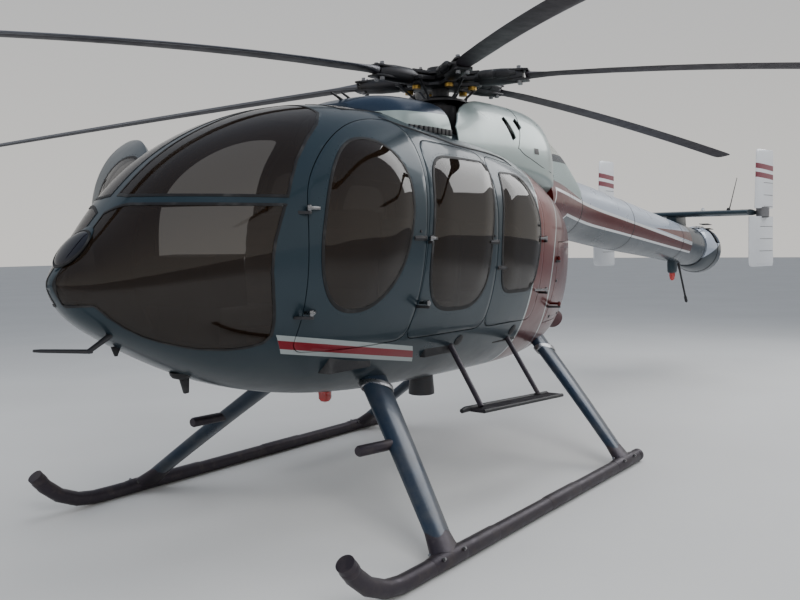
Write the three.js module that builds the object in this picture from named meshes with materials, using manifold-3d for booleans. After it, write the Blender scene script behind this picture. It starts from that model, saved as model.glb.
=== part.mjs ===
// A light single-turbine helicopter on skids, with a six-blade rotor, three doors on each side and a
// ducted tail boom that ends in a turning thruster instead of a tail rotor.
// Millimetres. X points forward, Y to the helicopter's left and Z up. Lengths along X are written from the
// mast's axis, and heights from the ground; the group at the end is moved so that its origin is the middle
// of the ground that the whole machine covers.
import * as THREE from "three";
import { mergeVertices } from "three/addons/utils/BufferGeometryUtils.js";
import Module from "manifold-3d";

const wasm = await Module();
wasm.setup();

// Driving dimensions
const ROTOR_RADIUS = 4190;
const HUB_HEIGHT = 2757;
const BLADE_COUNT = 6;
const BLADE_DROOP = 283; // how far a blade's tip hangs below its root at rest
const ROTOR_ANGLE = -11.3; // degrees from straight ahead to the first blade, seen from above
const NOSE_X = 3080;
const TAIL_END_X = -5990;
const TRACK_HALF = 1192;
const DOOR_OPEN_RIGHT_FRONT = 72; // degrees: the far front door stands open
const GAP = 0.4; // between pieces that touch

// Colours from the photograph: paint, glass, metal and trim
const finish = (color, roughness, metalness, opacity = 1) =>
  new THREE.MeshStandardMaterial({ color, roughness, metalness, opacity, transparent: opacity < 1 });
const PAINT_BLUE = finish(0x33475c, 0.3, 0.4);
const PAINT_GREY = finish(0x7c8a88, 0.35, 0.4);
const PAINT_GEAR = finish(0x27395a, 0.35, 0.3);
const PAINT_BLADE = finish(0x3a3540, 0.5, 0.1);
const GLASS = finish(0x2b2a2c, 0.08, 0, 0.45);
const DARK_METAL = finish(0x23242a, 0.45, 0.7);
const BARE_METAL = finish(0xb4b8bc, 0.3, 0.9);
const SKID_BLACK = finish(0x1d1a20, 0.6, 0.2);
const LEATHER = finish(0x6f6a60, 0.7, 0);
const FIN_WHITE = finish(0xd8dade, 0.4, 0.1);
const RED_PLASTIC = finish(0x7a1418, 0.35, 0);
const MESH_GREY = finish(0x9a9c90, 0.5, 0.6);

const radians = THREE.MathUtils.degToRad;
const group = new THREE.Group();

// Solids and meshes

function solid(geometry) {
  const bare = geometry.clone();
  for (const name of Object.keys(bare.attributes)) if (name !== "position") bare.deleteAttribute(name);
  const merged = mergeVertices(bare, 1e-3);
  return new wasm.Manifold(
    new wasm.Mesh({
      numProp: 3,
      vertProperties: new Float32Array(merged.attributes.position.array),
      triVerts: new Uint32Array(merged.index.array),
    }),
  );
}

function geometryOf(made) {
  const mesh = made.getMesh();
  const step = mesh.numProp;
  const points = new Float32Array(mesh.numVert * 3);
  for (let i = 0; i < mesh.numVert; i++)
    points.set(mesh.vertProperties.subarray(i * step, i * step + 3), i * 3);
  return new THREE.BufferGeometry()
    .setAttribute("position", new THREE.BufferAttribute(points, 3))
    .setIndex(new THREE.BufferAttribute(new Uint32Array(mesh.triVerts), 1));
}

const union = (...all) => all.reduce((a, b) => a.add(b));

// The same solid moved by a matrix; a mirroring one also turns the faces round.
function moved(made, matrix) {
  const g = geometryOf(made).applyMatrix4(matrix);
  if (matrix.determinant() < 0) {
    const corners = g.index.array;
    for (let i = 0; i < corners.length; i += 3) [corners[i], corners[i + 1]] = [corners[i + 1], corners[i]];
  }
  return solid(g);
}

function place(name, made, material) {
  const mesh = new THREE.Mesh(geometryOf(made), material);
  mesh.name = name;
  group.add(mesh);
  return mesh;
}

const mirrored = (made) => moved(made, new THREE.Matrix4().makeScale(1, -1, 1));
const shifted = (made, x, y, z) => moved(made, new THREE.Matrix4().makeTranslation(x, y, z));
const spun = (made, degrees) => moved(made, new THREE.Matrix4().makeRotationZ(radians(degrees)));

function box(x0, x1, y0, y1, z0, z1) {
  const g = new THREE.BoxGeometry(Math.abs(x1 - x0), Math.abs(y1 - y0), Math.abs(z1 - z0));
  return solid(g.translate((x0 + x1) / 2, (y0 + y1) / 2, (z0 + z1) / 2));
}

// A round bar between two points; its radius may change from one end to the other.
function bar(from, to, radius, endRadius = radius, sides = 16) {
  const a = new THREE.Vector3(...from);
  const b = new THREE.Vector3(...to);
  const g = new THREE.CylinderGeometry(endRadius, radius, a.distanceTo(b), sides);
  const along = b.clone().sub(a).normalize();
  const turn = new THREE.Quaternion().setFromUnitVectors(new THREE.Vector3(0, 1, 0), along);
  g.applyQuaternion(turn);
  return solid(g.translate((a.x + b.x) / 2, (a.y + b.y) / 2, (a.z + b.z) / 2));
}

// A plate whose outline is drawn in X and Z and which runs from y0 to y1.
function sidePlate(outline, y0, y1) {
  const shape = new THREE.Shape(outline.map(([x, z]) => new THREE.Vector2(x, z)));
  const g = new THREE.ExtrudeGeometry(shape, { depth: y1 - y0, bevelEnabled: false });
  return solid(g.rotateX(Math.PI / 2).translate(0, y1, 0));
}

// A plate whose outline is drawn in X and Y and which runs from z0 to z1.
function flatPlate(outline, z0, z1) {
  const shape = new THREE.Shape(outline.map(([x, y]) => new THREE.Vector2(x, y)));
  const g = new THREE.ExtrudeGeometry(shape, { depth: z1 - z0, bevelEnabled: false });
  return solid(g.translate(0, 0, z0));
}

// A closed skin through rings of points, all with the same count; each ring is [[x, y, z], ...].
function loft(rings) {
  const count = rings[0].length;
  const points = rings.flat(2);
  const middle = (ring) => ring.reduce((s, p) => s.map((v, i) => v + p[i] / count), [0, 0, 0]);
  points.push(...middle(rings[0]), ...middle(rings.at(-1)));
  const first = rings.length * count;
  const faces = [];
  for (let r = 0; r + 1 < rings.length; r++)
    for (let i = 0; i < count; i++) {
      const [a, b] = [r * count + i, r * count + ((i + 1) % count)];
      const leftSide = Math.cos((2 * Math.PI * (i + 0.5)) / count) > 0;
      if (leftSide) faces.push(a, b, b + count, a, b + count, a + count);
      else faces.push(a, b, a + count, b, b + count, a + count);
    }
  for (let i = 0; i < count; i++) {
    const j = (i + 1) % count;
    faces.push(first, j, i);
    faces.push(first + 1, first - count + i, first - count + j);
  }
  const corner = (k) => new THREE.Vector3().fromArray(points, 3 * faces[k]);
  let volume = 0;
  for (let k = 0; k < faces.length; k += 3) volume += corner(k).dot(corner(k + 1).cross(corner(k + 2)));
  const outward = volume > 0 ? faces : faces.toReversed();
  const g = new THREE.BufferGeometry();
  g.setAttribute("position", new THREE.Float32BufferAttribute(points, 3)).setIndex(outward);
  return solid(g);
}

// A smooth value between the rows of a table, by the column's name; rows run from the largest x down.
function between(rows, column, x) {
  const last = rows.length - 1;
  if (x >= rows[0].x) return rows[0][column];
  if (x <= rows[last].x) return rows[last][column];
  const i = rows.findIndex((row, k) => k < last && x <= row.x && x >= rows[k + 1].x);
  const slope = (k) => {
    const [a, b] = [rows[Math.max(k - 1, 0)], rows[Math.min(k + 1, last)]];
    return (b[column] - a[column]) / (b.x - a.x);
  };
  const [p, q] = [rows[i], rows[i + 1]];
  const width = q.x - p.x;
  const t = (x - p.x) / width;
  const [t2, t3] = [t * t, t * t * t];
  return (
    (2 * t3 - 3 * t2 + 1) * p[column] +
    (t3 - 2 * t2 + t) * width * slope(i) +
    (3 * t2 - 2 * t3) * q[column] +
    (t3 - t2) * width * slope(i + 1)
  );
}

// One ring of an egg-shaped section: the upper and the lower half have their own height and fullness.
function eggRing(x, { top, bottom, half, wide }, fullTop, fullBottom, count) {
  return Array.from({ length: count }, (_, i) => {
    const angle = (2 * Math.PI * i) / count;
    const [c, s] = [Math.cos(angle), Math.sin(angle)];
    const full = s > 0 ? fullTop : fullBottom;
    const reach = s > 0 ? top - wide : wide - bottom;
    const power = (v) => Math.sign(v) * Math.abs(v) ** (2 / full);
    return [x, half * power(c), wide + reach * power(s)];
  });
}

// The pod: nose, cabin and engine bay in one smooth egg
const POD = [
  // x along the fuselage, top and bottom heights, half width, and the height where it is widest
  { x: 3080, top: 1445, bottom: 1415, half: 14, wide: 1430 },
  { x: 3062, top: 1475, bottom: 1372, half: 62, wide: 1425 },
  { x: 3000, top: 1545, bottom: 1285, half: 140, wide: 1422 },
  { x: 2900, top: 1652, bottom: 1205, half: 228, wide: 1432 },
  { x: 2750, top: 1820, bottom: 1118, half: 335, wide: 1460 },
  { x: 2550, top: 2003, bottom: 1015, half: 445, wide: 1505 },
  { x: 2300, top: 2160, bottom: 905, half: 550, wide: 1560 },
  { x: 2000, top: 2288, bottom: 812, half: 636, wide: 1620 },
  { x: 1600, top: 2385, bottom: 735, half: 692, wide: 1672 },
  { x: 1100, top: 2420, bottom: 690, half: 714, wide: 1700 },
  { x: 500, top: 2385, bottom: 672, half: 714, wide: 1700 },
  { x: 0, top: 2325, bottom: 668, half: 700, wide: 1688 },
  { x: -350, top: 2245, bottom: 668, half: 664, wide: 1660 },
  { x: -700, top: 2140, bottom: 680, half: 596, wide: 1620 },
  { x: -1050, top: 2030, bottom: 722, half: 486, wide: 1580 },
  { x: -1400, top: 1900, bottom: 820, half: 330, wide: 1535 },
  { x: -1650, top: 1760, bottom: 940, half: 178, wide: 1480 },
  { x: -1780, top: 1600, bottom: 1060, half: 60, wide: 1420 },
];
const POD_SECTIONS = [
  3080, 3050, 2960, 2800, 2560, 2250, 1900, 1400, 800, 200, -350, -750, -1100, -1450, -1660, -1780,
];
const POD_POINTS = 28;
const POD_INNER_POINTS = 16; // on the inner faces, which are plainer
const FULL_TOP = 2.35;
const FULL_BOTTOM = 2.2;
const NOSE_BLEND = [2300, 1900]; // an inner skin is also moved back ahead of the first x, not behind the second

// The pod's skin, moved inwards by some depth.
function podSkin(depth, count = POD_POINTS) {
  const rings = POD_SECTIONS.map((at) => {
    const share = THREE.MathUtils.clamp((at - NOSE_BLEND[1]) / (NOSE_BLEND[0] - NOSE_BLEND[1]), 0, 1);
    const row = Object.fromEntries(["top", "bottom", "half", "wide"].map((k) => [k, between(POD, k, at)]));
    const shrunk = { ...row, top: row.top - depth, bottom: row.bottom + depth, half: row.half - depth };
    if (shrunk.half < 6 || shrunk.top - shrunk.wide < 6 || shrunk.wide - shrunk.bottom < 6)
      Object.assign(shrunk, {
        half: Math.max(shrunk.half, 6),
        top: Math.max(shrunk.top, shrunk.wide + 6),
        bottom: Math.min(shrunk.bottom, shrunk.wide - 6),
      });
    return eggRing(at - share * depth, shrunk, FULL_TOP, FULL_BOTTOM, count);
  });
  return loft(rings);
}

// Outlines, in X and Z unless said

// A polygon whose corners are [x, z, radius]; each corner is eased by a short curve.
function easedOutline(corners, steps = 3) {
  return corners.flatMap(([x, z, radius], i) => {
    if (radius === 0) return [[x, z]];
    const corner = new THREE.Vector2(x, z);
    const towards = (other) => {
      const side = new THREE.Vector2(other[0], other[1]).sub(corner);
      return corner.clone().add(side.setLength(Math.min(radius, side.length() * 0.49)));
    };
    const before = towards(corners.at(i - 1));
    const after = towards(corners[(i + 1) % corners.length]);
    const curve = new THREE.QuadraticBezierCurve(before, corner, after);
    return curve.getPoints(steps).map((q) => [q.x, q.y]);
  });
}

// An oval that leans: `lean` is how far x moves for each unit of height.
function oval(x, z, halfX, halfZ, full, lean, count = 24) {
  const power = (v) => Math.sign(v) * Math.abs(v) ** (2 / full);
  return Array.from({ length: count }, (_, i) => {
    const angle = (2 * Math.PI * i) / count;
    const up = halfZ * power(Math.sin(angle));
    return [x + halfX * power(Math.cos(angle)) + lean * up, z + up];
  });
}

// The same outline moved outwards by a distance; a negative one moves it inwards.
function grown(outline, distance) {
  const sign = THREE.ShapeUtils.area(outline.map(([x, z]) => new THREE.Vector2(x, z))) > 0 ? 1 : -1;
  return outline.map(([x, z], i) => {
    const a = outline.at(i - 1);
    const b = outline[(i + 1) % outline.length];
    const normal = (p, q) => new THREE.Vector2(q[1] - p[1], p[0] - q[0]).normalize();
    const n1 = normal(a, [x, z]);
    const n2 = normal([x, z], b);
    const mid = n1.clone().add(n2).normalize();
    const stretch = (sign * distance) / Math.max(mid.dot(n1), 0.5);
    return [x + mid.x * stretch, z + mid.y * stretch];
  });
}

// Cabin, glass and doors
const WALL = 32;
const SEAM = 8; // between a door and its frame
const FLOOR_Z = 900;
const BULKHEAD = [-400, -520]; // the wall between the cabin and the engine bay
const REACH = 900; // farther out than any skin
const POST_WIDTH = 30; // half of a door post
const POST_DEPTH = 44;

const SEAM_FRONT_MID = [1235, 1150, -0.11]; // x at a height, and how x changes for each unit of height
const seamX = (z) => SEAM_FRONT_MID[0] + (z - SEAM_FRONT_MID[1]) * SEAM_FRONT_MID[2];
const SEAM_MID_AFT = 410;
const HALF_SEAM = SEAM / 2;

const DOORS = {
  front: easedOutline([
    [2072, 1045, 90], [2078, 1760, 0], [2045, 1895, 0], [1970, 2000, 0], [1870, 2092, 0], [1750, 2172, 0],
    [1600, 2242, 0], [1420, 2290, 0], [1150, 2310, 120], [seamX(1045) + HALF_SEAM, 1045, 90],
  ]),
  mid: easedOutline([
    [seamX(1045) - HALF_SEAM, 1045, 80], [seamX(2200) - HALF_SEAM, 2200, 120],
    [SEAM_MID_AFT + HALF_SEAM, 2170, 110], [SEAM_MID_AFT + HALF_SEAM, 1045, 100],
  ]),
  aft: easedOutline([
    [SEAM_MID_AFT - HALF_SEAM, 1045, 100], [SEAM_MID_AFT - HALF_SEAM, 2160, 110],
    [-120, 2110, 160], [-300, 1900, 120], [-300, 1045, 80],
  ]),
};
const WINDOWS = {
  front: oval(1655, 1700, 325, 457, 2.2, -0.2),
  mid: easedOutline([[1085, 2105, 200], [410, 2105, 80], [530, 1195, 220], [1190, 1195, 380]], 5),
  aft: easedOutline([
    [290, 2050, 50], [-90, 2050, 150], [-262, 1700, 250],
    [-170, 1265, 130], [300, 1265, 130], [370, 1600, 200],
  ]),
};
const WINDSHIELD_POST_Z = [1786, 1824];
const WINDSHIELD_BEAM = 28; // half width of the beam on the centreline
const WINDSHIELD = {
  upper: [
    [1665, 2600], [1665, 2360], [1700, 2300], [1810, 2218], [1945, 2122], [2060, 2010], [2125, 1910],
    [2165, WINDSHIELD_POST_Z[1]], [3300, WINDSHIELD_POST_Z[1]], [3300, 2600],
  ],
  lower: [
    [2185, WINDSHIELD_POST_Z[0]], [2259, 1597], [2268, 1459], [2200, 1130], [2400, 1088], [2672, 1142],
    [2843, 1226], [2965, 1332], [3300, 1332], [3300, WINDSHIELD_POST_Z[0]],
  ],
};
const LENS = { at: [2953, 0, 1574], long: 105, wide: 88, thick: 60, tilt: 48 }; // half of long and wide
const LENS_RIM = 20; // how far the frame reaches past the lens on the nose
const SKYLIGHT = [[1530, 110], [1100, 110], [1100, 330], [1480, 330]]; // in X and Y

// How far out the pod's side is at a place along it and a height.
function podSideY(x, z) {
  const [top, bottom, half, wide] = ["top", "bottom", "half", "wide"].map((k) => between(POD, k, x));
  const [share, full] = z > wide
    ? [(z - wide) / (top - wide), FULL_TOP]
    : [(wide - z) / (wide - bottom), FULL_BOTTOM];
  return half * (1 - share ** full) ** (1 / full);
}

// Hinges: a fixed lug with a pin, and a knuckle on a strap that turns round the pin
const HINGES = {
  // the pin's line in x and y, which way the leaf lies from it, how the line leans, and the hinges' heights
  front: { x: () => 2082, y: 628, leaf: -1, lean: 0, heights: [1770, 1255] },
  mid: { x: seamX, y: 727, leaf: -1, lean: SEAM_FRONT_MID[2], heights: [1620, 1255] },
  aft: { x: () => -304, y: 684, leaf: 1, lean: 0, heights: [1620, 1255] },
  engine: { x: () => -646, y: 616, leaf: -1, lean: 0, heights: [1470, 1130] },
};
const PIN = { radius: 7, knuckle: 13, hole: 8.5, sides: 6, below: -32, above: 20, half: 18 };

// Room round the middle door's hinges, cut from both doors where they meet over the post.
const hingeRoom = () => union(...HINGES.mid.heights.map((z) => {
  const at = seamX(z);
  return box(at - 20, at + 20, podSideY(at, z) - 120, REACH, z - 40, z + 28);
}));

function hinge(key, part) {
  const { x, y, leaf, lean, heights } = HINGES[key];
  const made = heights.map((z) => {
    const at = x(z);
    const skin = podSideY(at, z);
    const far = podSideY(at + leaf * 80, z) + 4;
    const fixedFar = podSideY(at - leaf * 70, z);
    const plate = (outline, z0, z1) => flatPlate(outline.map(([dx, py]) => [at + dx, py]), z + z0, z + z1);
    const fixed = key === "mid" ? [[-8, skin - 120], [8, skin - 120], [8, y + 9], [-8, y + 9]] : [
      [9 * leaf, y - 10], [-6 * leaf, y - 10], [-9 * leaf, skin - 18], [-70 * leaf, fixedFar - 18],
      [-70 * leaf, fixedFar + 4], [-9 * leaf, y + 9], [9 * leaf, y + 9],
    ];
    const strap = [
      [0, y - 11], [5 * leaf, y - 11], [9 * leaf, skin - 16], [80 * leaf, skin - 16], [80 * leaf, far],
      [14 * leaf, y + 9], [0, y + 9],
    ];
    const up = (r, z0, z1) => bar([at, y, z + z0], [at, y, z + z1], r, r, PIN.sides);
    const lug = () => plate(fixed, PIN.below, -PIN.half - GAP).subtract(podPost);
    const knuckle = () => union(plate(strap, -PIN.half, PIN.half), up(PIN.knuckle, -PIN.half, PIN.half));
    const one = part === "fixed"
      ? lug().add(up(PIN.radius, PIN.below + 1, PIN.above))
      : knuckle().subtract(up(PIN.hole, -40, 40));
    if (lean === 0) return one;
    const tilt = new THREE.Matrix4().makeRotationY(Math.atan(lean));
    return shifted(moved(shifted(one, -at, -y, -z), tilt), at, y, z);
  });
  return union(...made);
}

// Rods and lamps joined to the shell: from, to, radius at each end and sides
const UNDERSIDE = [
  [[2850, 95, 1190], [2970, 100, 1128], 11, 11, 8], // pitot tube
  [[2960, 100, 1130], [3225, 100, 1160], 9, 7, 8],
  [[2380, 0, 952], [2380, 0, 925], 62, 55, 12], // antenna
  [[2375, 0, 940], [2360, 0, 845], 16, 9, 6],
  [[1300, 0, 730], [1300, 0, 628], 45, 36, 12], // beacon
  [[280, 0, 700], [280, 0, 530], 82, 92, 14], // drain can
];

const podOuter = podSkin(0);
const podPane = podSkin(6);
const podInner = podSkin(WALL, POD_INNER_POINTS);
const podRebate = podSkin(WALL + 6, POD_INNER_POINTS);
const podPost = podSkin(WALL + POST_DEPTH, POD_INNER_POINTS);

// The engine doors' edges and the exhaust that leaves between them
const ENGINE_DOOR_X = -650;
const ENGINE_DOOR_TOP = 1590;
const ENGINE_DOOR_FOOT = 985; // below it the belly is fixed, so the doors swing clear of the legs
const EXHAUST = { from: [-1150, 0, 1235], to: [-1790, 0, 905], radius: 92 };

function cabinShell() {
  const cabin = podInner.intersect(box(BULKHEAD[0], 3400, -REACH, REACH, FLOOR_Z, 3000));
  const bay = podInner.intersect(box(-2500, BULKHEAD[1], -REACH, REACH, 500, 3000));
  const postRing = podOuter.subtract(podPost);
  const slanted = sidePlate([
    [seamX(800) - POST_WIDTH, 800], [seamX(800) + POST_WIDTH, 800],
    [seamX(2500) + POST_WIDTH, 2500], [seamX(2500) - POST_WIDTH, 2500],
  ], -REACH, REACH);
  const upright = box(SEAM_MID_AFT - POST_WIDTH, SEAM_MID_AFT + POST_WIDTH, -REACH, REACH, 800, 2500);
  let shell = podOuter.subtract(cabin).subtract(bay);
  shell = shell.add(postRing.intersect(slanted)).add(postRing.intersect(upright));
  for (const outline of Object.values(DOORS)) {
    const cut = sidePlate(grown(outline, SEAM), 60, REACH).subtract(podRebate);
    shell = shell.subtract(cut).subtract(mirrored(cut));
  }
  for (const outline of Object.values(WINDSHIELD)) {
    const cut = sidePlate(outline, WINDSHIELD_BEAM, REACH).subtract(noseLens(LENS_RIM));
    shell = shell.subtract(cut).subtract(mirrored(cut));
  }
  const roofHole = flatPlate(SKYLIGHT, 2000, 2700);
  shell = shell.subtract(roofHole).subtract(mirrored(roofHole));
  const [foot, top] = [ENGINE_DOOR_FOOT - SEAM, ENGINE_DOOR_TOP + SEAM];
  const doorZone = box(-2500, ENGINE_DOOR_X + SEAM, -REACH, REACH, foot, top);
  const outlet = EXHAUST.radius + 12;
  shell = shell.subtract(doorZone).subtract(bar(EXHAUST.from, EXHAUST.to, outlet, outlet, 16));
  const lugs = union(...Object.keys(HINGES).map((key) => hinge(key, "fixed")));
  return union(shell.subtract(noseLens(GAP)), lugs, mirrored(lugs), ...UNDERSIDE.map((one) => bar(...one)));
}

// The dark oval lens on the nose, tilted with the skin.
function noseLens(extra) {
  const g = new THREE.CylinderGeometry(1, 1, 1, 20).rotateX(radians(90));
  g.scale(LENS.long + extra, LENS.wide + extra, LENS.thick + 2 * extra).rotateY(radians(LENS.tilt));
  return solid(g.translate(...LENS.at));
}

function door(key) {
  const skin = podOuter.subtract(podInner);
  const hole = sidePlate(WINDOWS[key], 60, REACH);
  const leaf = skin.intersect(sidePlate(DOORS[key], 60, REACH));
  return (key === "aft" ? leaf : leaf.subtract(hingeRoom())).add(hinge(key, "leaf")).subtract(hole);
}

function doorWindow(key) {
  return podSkin(-6).subtract(podSkin(3)).intersect(sidePlate(grown(WINDOWS[key], -GAP), 60, REACH));
}

function windshieldPane(key) {
  const outline = grown(WINDSHIELD[key], -GAP);
  const pane = podOuter.subtract(podPane).intersect(sidePlate(outline, WINDSHIELD_BEAM + GAP, REACH));
  return pane.subtract(noseLens(LENS_RIM + GAP));
}

function engineDoor() {
  const zone = box(-2500, ENGINE_DOOR_X, SEAM / 2, REACH, ENGINE_DOOR_FOOT, ENGINE_DOOR_TOP);
  const { from, to, radius } = EXHAUST;
  const skin = podOuter.subtract(podInner).intersect(zone);
  return skin.subtract(bar(from, to, radius + 12, radius + 12, 16)).add(hinge("engine", "leaf"));
}

place("cabin_shell", cabinShell(), PAINT_BLUE);
place("nose_lens", noseLens(0).subtract(podSkin(14)), DARK_METAL);
const skylight = podOuter.subtract(podPane).intersect(flatPlate(grown(SKYLIGHT, -GAP), 2000, 2700));
const sides = [["left", (made) => made], ["right", mirrored]];
const DOOR_MAKERS = Object.keys(DOORS).map((key) => ({ key, leaf: door(key), glass: doorWindow(key) }));
const HINGE_FRONT = [HINGES.front.x(), HINGES.front.y];

// The right front door stands open: it and its window are turned about its hinge.
function opened(made) {
  const [x, y] = HINGE_FRONT;
  return shifted(spun(shifted(made, -x, y, 0), DOOR_OPEN_RIGHT_FRONT), x, -y, 0);
}

for (const [side, turn] of sides) {
  for (const key of ["upper", "lower"]) place(`windshield_${key}_${side}`, turn(windshieldPane(key)), GLASS);
  place(`skylight_${side}`, turn(skylight), GLASS);
  for (const { key, leaf, glass } of DOOR_MAKERS) {
    const rest = key === "front" && side === "right" ? (made) => opened(turn(made)) : turn;
    place(`door_${key}_${side}`, rest(leaf), PAINT_BLUE);
    place(`window_${key}_${side}`, rest(glass), GLASS);
  }
  place(`engine_door_${side}`, turn(engineDoor()), PAINT_BLUE);
}

// Seats, instrument panel, engine and exhaust
const SEATS = [
  // name, cushion from x to x, y from and to, and how high the back reaches
  { name: "seat_front_left", x: [1400, 1860], y: [110, 520], top: 1790 },
  { name: "seat_front_right", x: [1400, 1860], y: [-520, -110], top: 1790 },
  { name: "bench_mid", x: [620, 1040], y: [-560, 560], top: 1760 },
  { name: "bench_aft", x: [-230, 190], y: [-530, 530], top: 1740 },
];
const inside = podSkin(WALL + POST_DEPTH + 12, POD_INNER_POINTS);
for (const { name, x, y, top } of SEATS) {
  const base = box(x[0] + 30, x[1] - 60, y[0] + 30, y[1] - 30, FLOOR_Z + GAP, 1130);
  const cushion = box(x[0], x[1], y[0], y[1], 1120, 1230);
  const back = sidePlate([[x[0], 1200], [x[0] + 100, 1200], [x[0] + 30, top], [x[0] - 60, top]], y[0], y[1]);
  place(name, union(base, cushion, back).intersect(inside), LEATHER);
}
const pedestal = box(2230, 2420, -120, 120, FLOOR_Z + GAP, 1320);
const PANEL_HEAD = [[2180, 1290], [2430, 1290], [2440, 1480], [2380, 1540], [2230, 1540]];
const panelHead = sidePlate(PANEL_HEAD, -290, 290);
const foot = box(2230, 2480, -130, 130, FLOOR_Z + GAP, 960);
const onFloor = podSkin(WALL + GAP, POD_INNER_POINTS);
place("instrument_panel", union(pedestal, panelHead, foot).intersect(onFloor), SKID_BLACK);

const engineBlock = union(
  box(BULKHEAD[1] - GAP, -1000, -230, 230, 1180, 1640),
  bar([-990, 0, 1410], [-1240, 0, 1410], 190, 150, 20),
).intersect(podSkin(WALL + 10, POD_INNER_POINTS));
place("engine_block", engineBlock, BARE_METAL);
const { from: exhaustStart, to: exhaustEnd, radius: exhaustRadius } = EXHAUST;
place("exhaust_pipe", bar(exhaustStart, exhaustEnd, exhaustRadius, exhaustRadius, 20)
  .subtract(bar([-1300, 0, 1158], [-1795, 0, 902], exhaustRadius - 8, exhaustRadius - 8, 20))
  .subtract(shifted(engineBlock, -GAP, 0, 0)).subtract(engineBlock), RED_PLASTIC);

// Fairings on the roof, mast, screen and tail boom
const ROOF_FAIRING = [
  { x: 1180, top: 2452, bottom: 2240, half: 190, wide: 2270 },
  { x: 1090, top: 2490, bottom: 2220, half: 400, wide: 2230 },
  { x: 980, top: 2512, bottom: 2200, half: 462, wide: 2205 },
  { x: 820, top: 2522, bottom: 2180, half: 484, wide: 2195 },
  { x: 600, top: 2522, bottom: 2165, half: 489, wide: 2190 },
];
const ENGINE_FAIRING = [
  { x: 520, top: 2545, bottom: 1990, half: 492, wide: 2175 },
  { x: 200, top: 2600, bottom: 1960, half: 494, wide: 2165 },
  { x: -200, top: 2636, bottom: 1950, half: 492, wide: 2150 },
  { x: -560, top: 2640, bottom: 1930, half: 488, wide: 2120 },
  { x: -800, top: 2628, bottom: 1900, half: 470, wide: 2085 },
  { x: -930, top: 2612, bottom: 1880, half: 430, wide: 2060 },
  { x: -1010, top: 2596, bottom: 1870, half: 388, wide: 2040 },
  { x: -1045, top: 2580, bottom: 1860, half: 366, wide: 2035 },
];
const FAIRING_FRONT = [ // cut away, in X and Z
  [700, 2100], [545, 2290], [520, 2336], [414, 2436], [191, 2535], [0, 2582], [-60, 2700], [700, 2700],
];
const MAST_HOLE = 262; // radius of the opening round the mast, which is open ahead
const SCREEN = [
  { x: -1045 - GAP, top: 2555, bottom: 1820, half: 352, wide: 2010 },
  { x: -1200, top: 2530, bottom: 1820, half: 350, wide: 2005 },
  { x: -1350, top: 2470, bottom: 1820, half: 345, wide: 1995 },
  { x: -1500, top: 2382, bottom: 1820, half: 335, wide: 1985 },
  { x: -1620, top: 2285, bottom: 1820, half: 322, wide: 1970 },
  { x: -1720, top: 2200, bottom: 1835, half: 305, wide: 1950 },
  { x: -1760, top: 2168, bottom: 1850, half: 288, wide: 1940 },
];
const BOOM = [
  { x: -900, top: 2240, bottom: 1640, half: 445, wide: 1930 },
  { x: -1300, top: 2215, bottom: 1635, half: 385, wide: 1925 },
  { x: -1700, top: 2185, bottom: 1630, half: 318, wide: 1905 },
  { x: -2050, top: 2158, bottom: 1614, half: 280, wide: 1886 },
  { x: -2570, top: 2100, bottom: 1560, half: 270, wide: 1830 },
  { x: -3600, top: 1973, bottom: 1464, half: 254, wide: 1718 },
  { x: -4750, top: 1830, bottom: 1360, half: 235, wide: 1595 },
  { x: -5490, top: 1748, bottom: 1282, half: 232, wide: 1515 },
];
const BOOM_TILT = Math.atan2(1830 - 1595, 4750 - 2570);
const CAN_START = [-5446, 0, 1519];
const alongBoom = (distance) => [
  CAN_START[0] - distance * Math.cos(BOOM_TILT), 0, CAN_START[2] - distance * Math.sin(BOOM_TILT),
];
const eggs = (rows, fullTop, fullBottom, count) =>
  loft(rows.map((row) => eggRing(row.x, row, fullTop, fullBottom, count)));
const podTight = podSkin(-GAP);

// A skin's rows moved inwards; `open` also drops the bottom, for a cover that is open below.
const thinned = (rows, skin, open = 0) =>
  rows.map((r) => ({ ...r, top: r.top - skin, bottom: r.bottom + skin - open, half: r.half - skin }));
const COVER = 18;
const BOOM_WALL = 14;
const boomBody = eggs(BOOM, 2, 2, 20);
const duct = eggs(thinned(BOOM.slice(1), BOOM_WALL), 2, 2, 20);
const TAIL_ROD = { from: [-5130, 0, 1330], to: [-5450, 0, 830], radius: 12 };
const boomEnd = bar(alongBoom(-GAP), alongBoom(200), 400, 400, 8);
const tailRod = bar(TAIL_ROD.from, TAIL_ROD.to, TAIL_ROD.radius, TAIL_ROD.radius, 8);
const tailBeacon = bar([-4920, 0, 1400], [-4920, 0, 1120], 34, 30, 12);
const boomSolid = boomBody.subtract(podTight).subtract(boomEnd);
place("tail_boom", boomSolid.add(tailRod).add(tailBeacon).subtract(duct), PAINT_GREY);
const boomTight = eggs(BOOM.map((r) => ({
  ...r, top: r.top + GAP, bottom: r.bottom - GAP, half: r.half + GAP,
})), 2, 2, 20).add(box(-900, -899.5, -100, 100, 1800, 2000));

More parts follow.
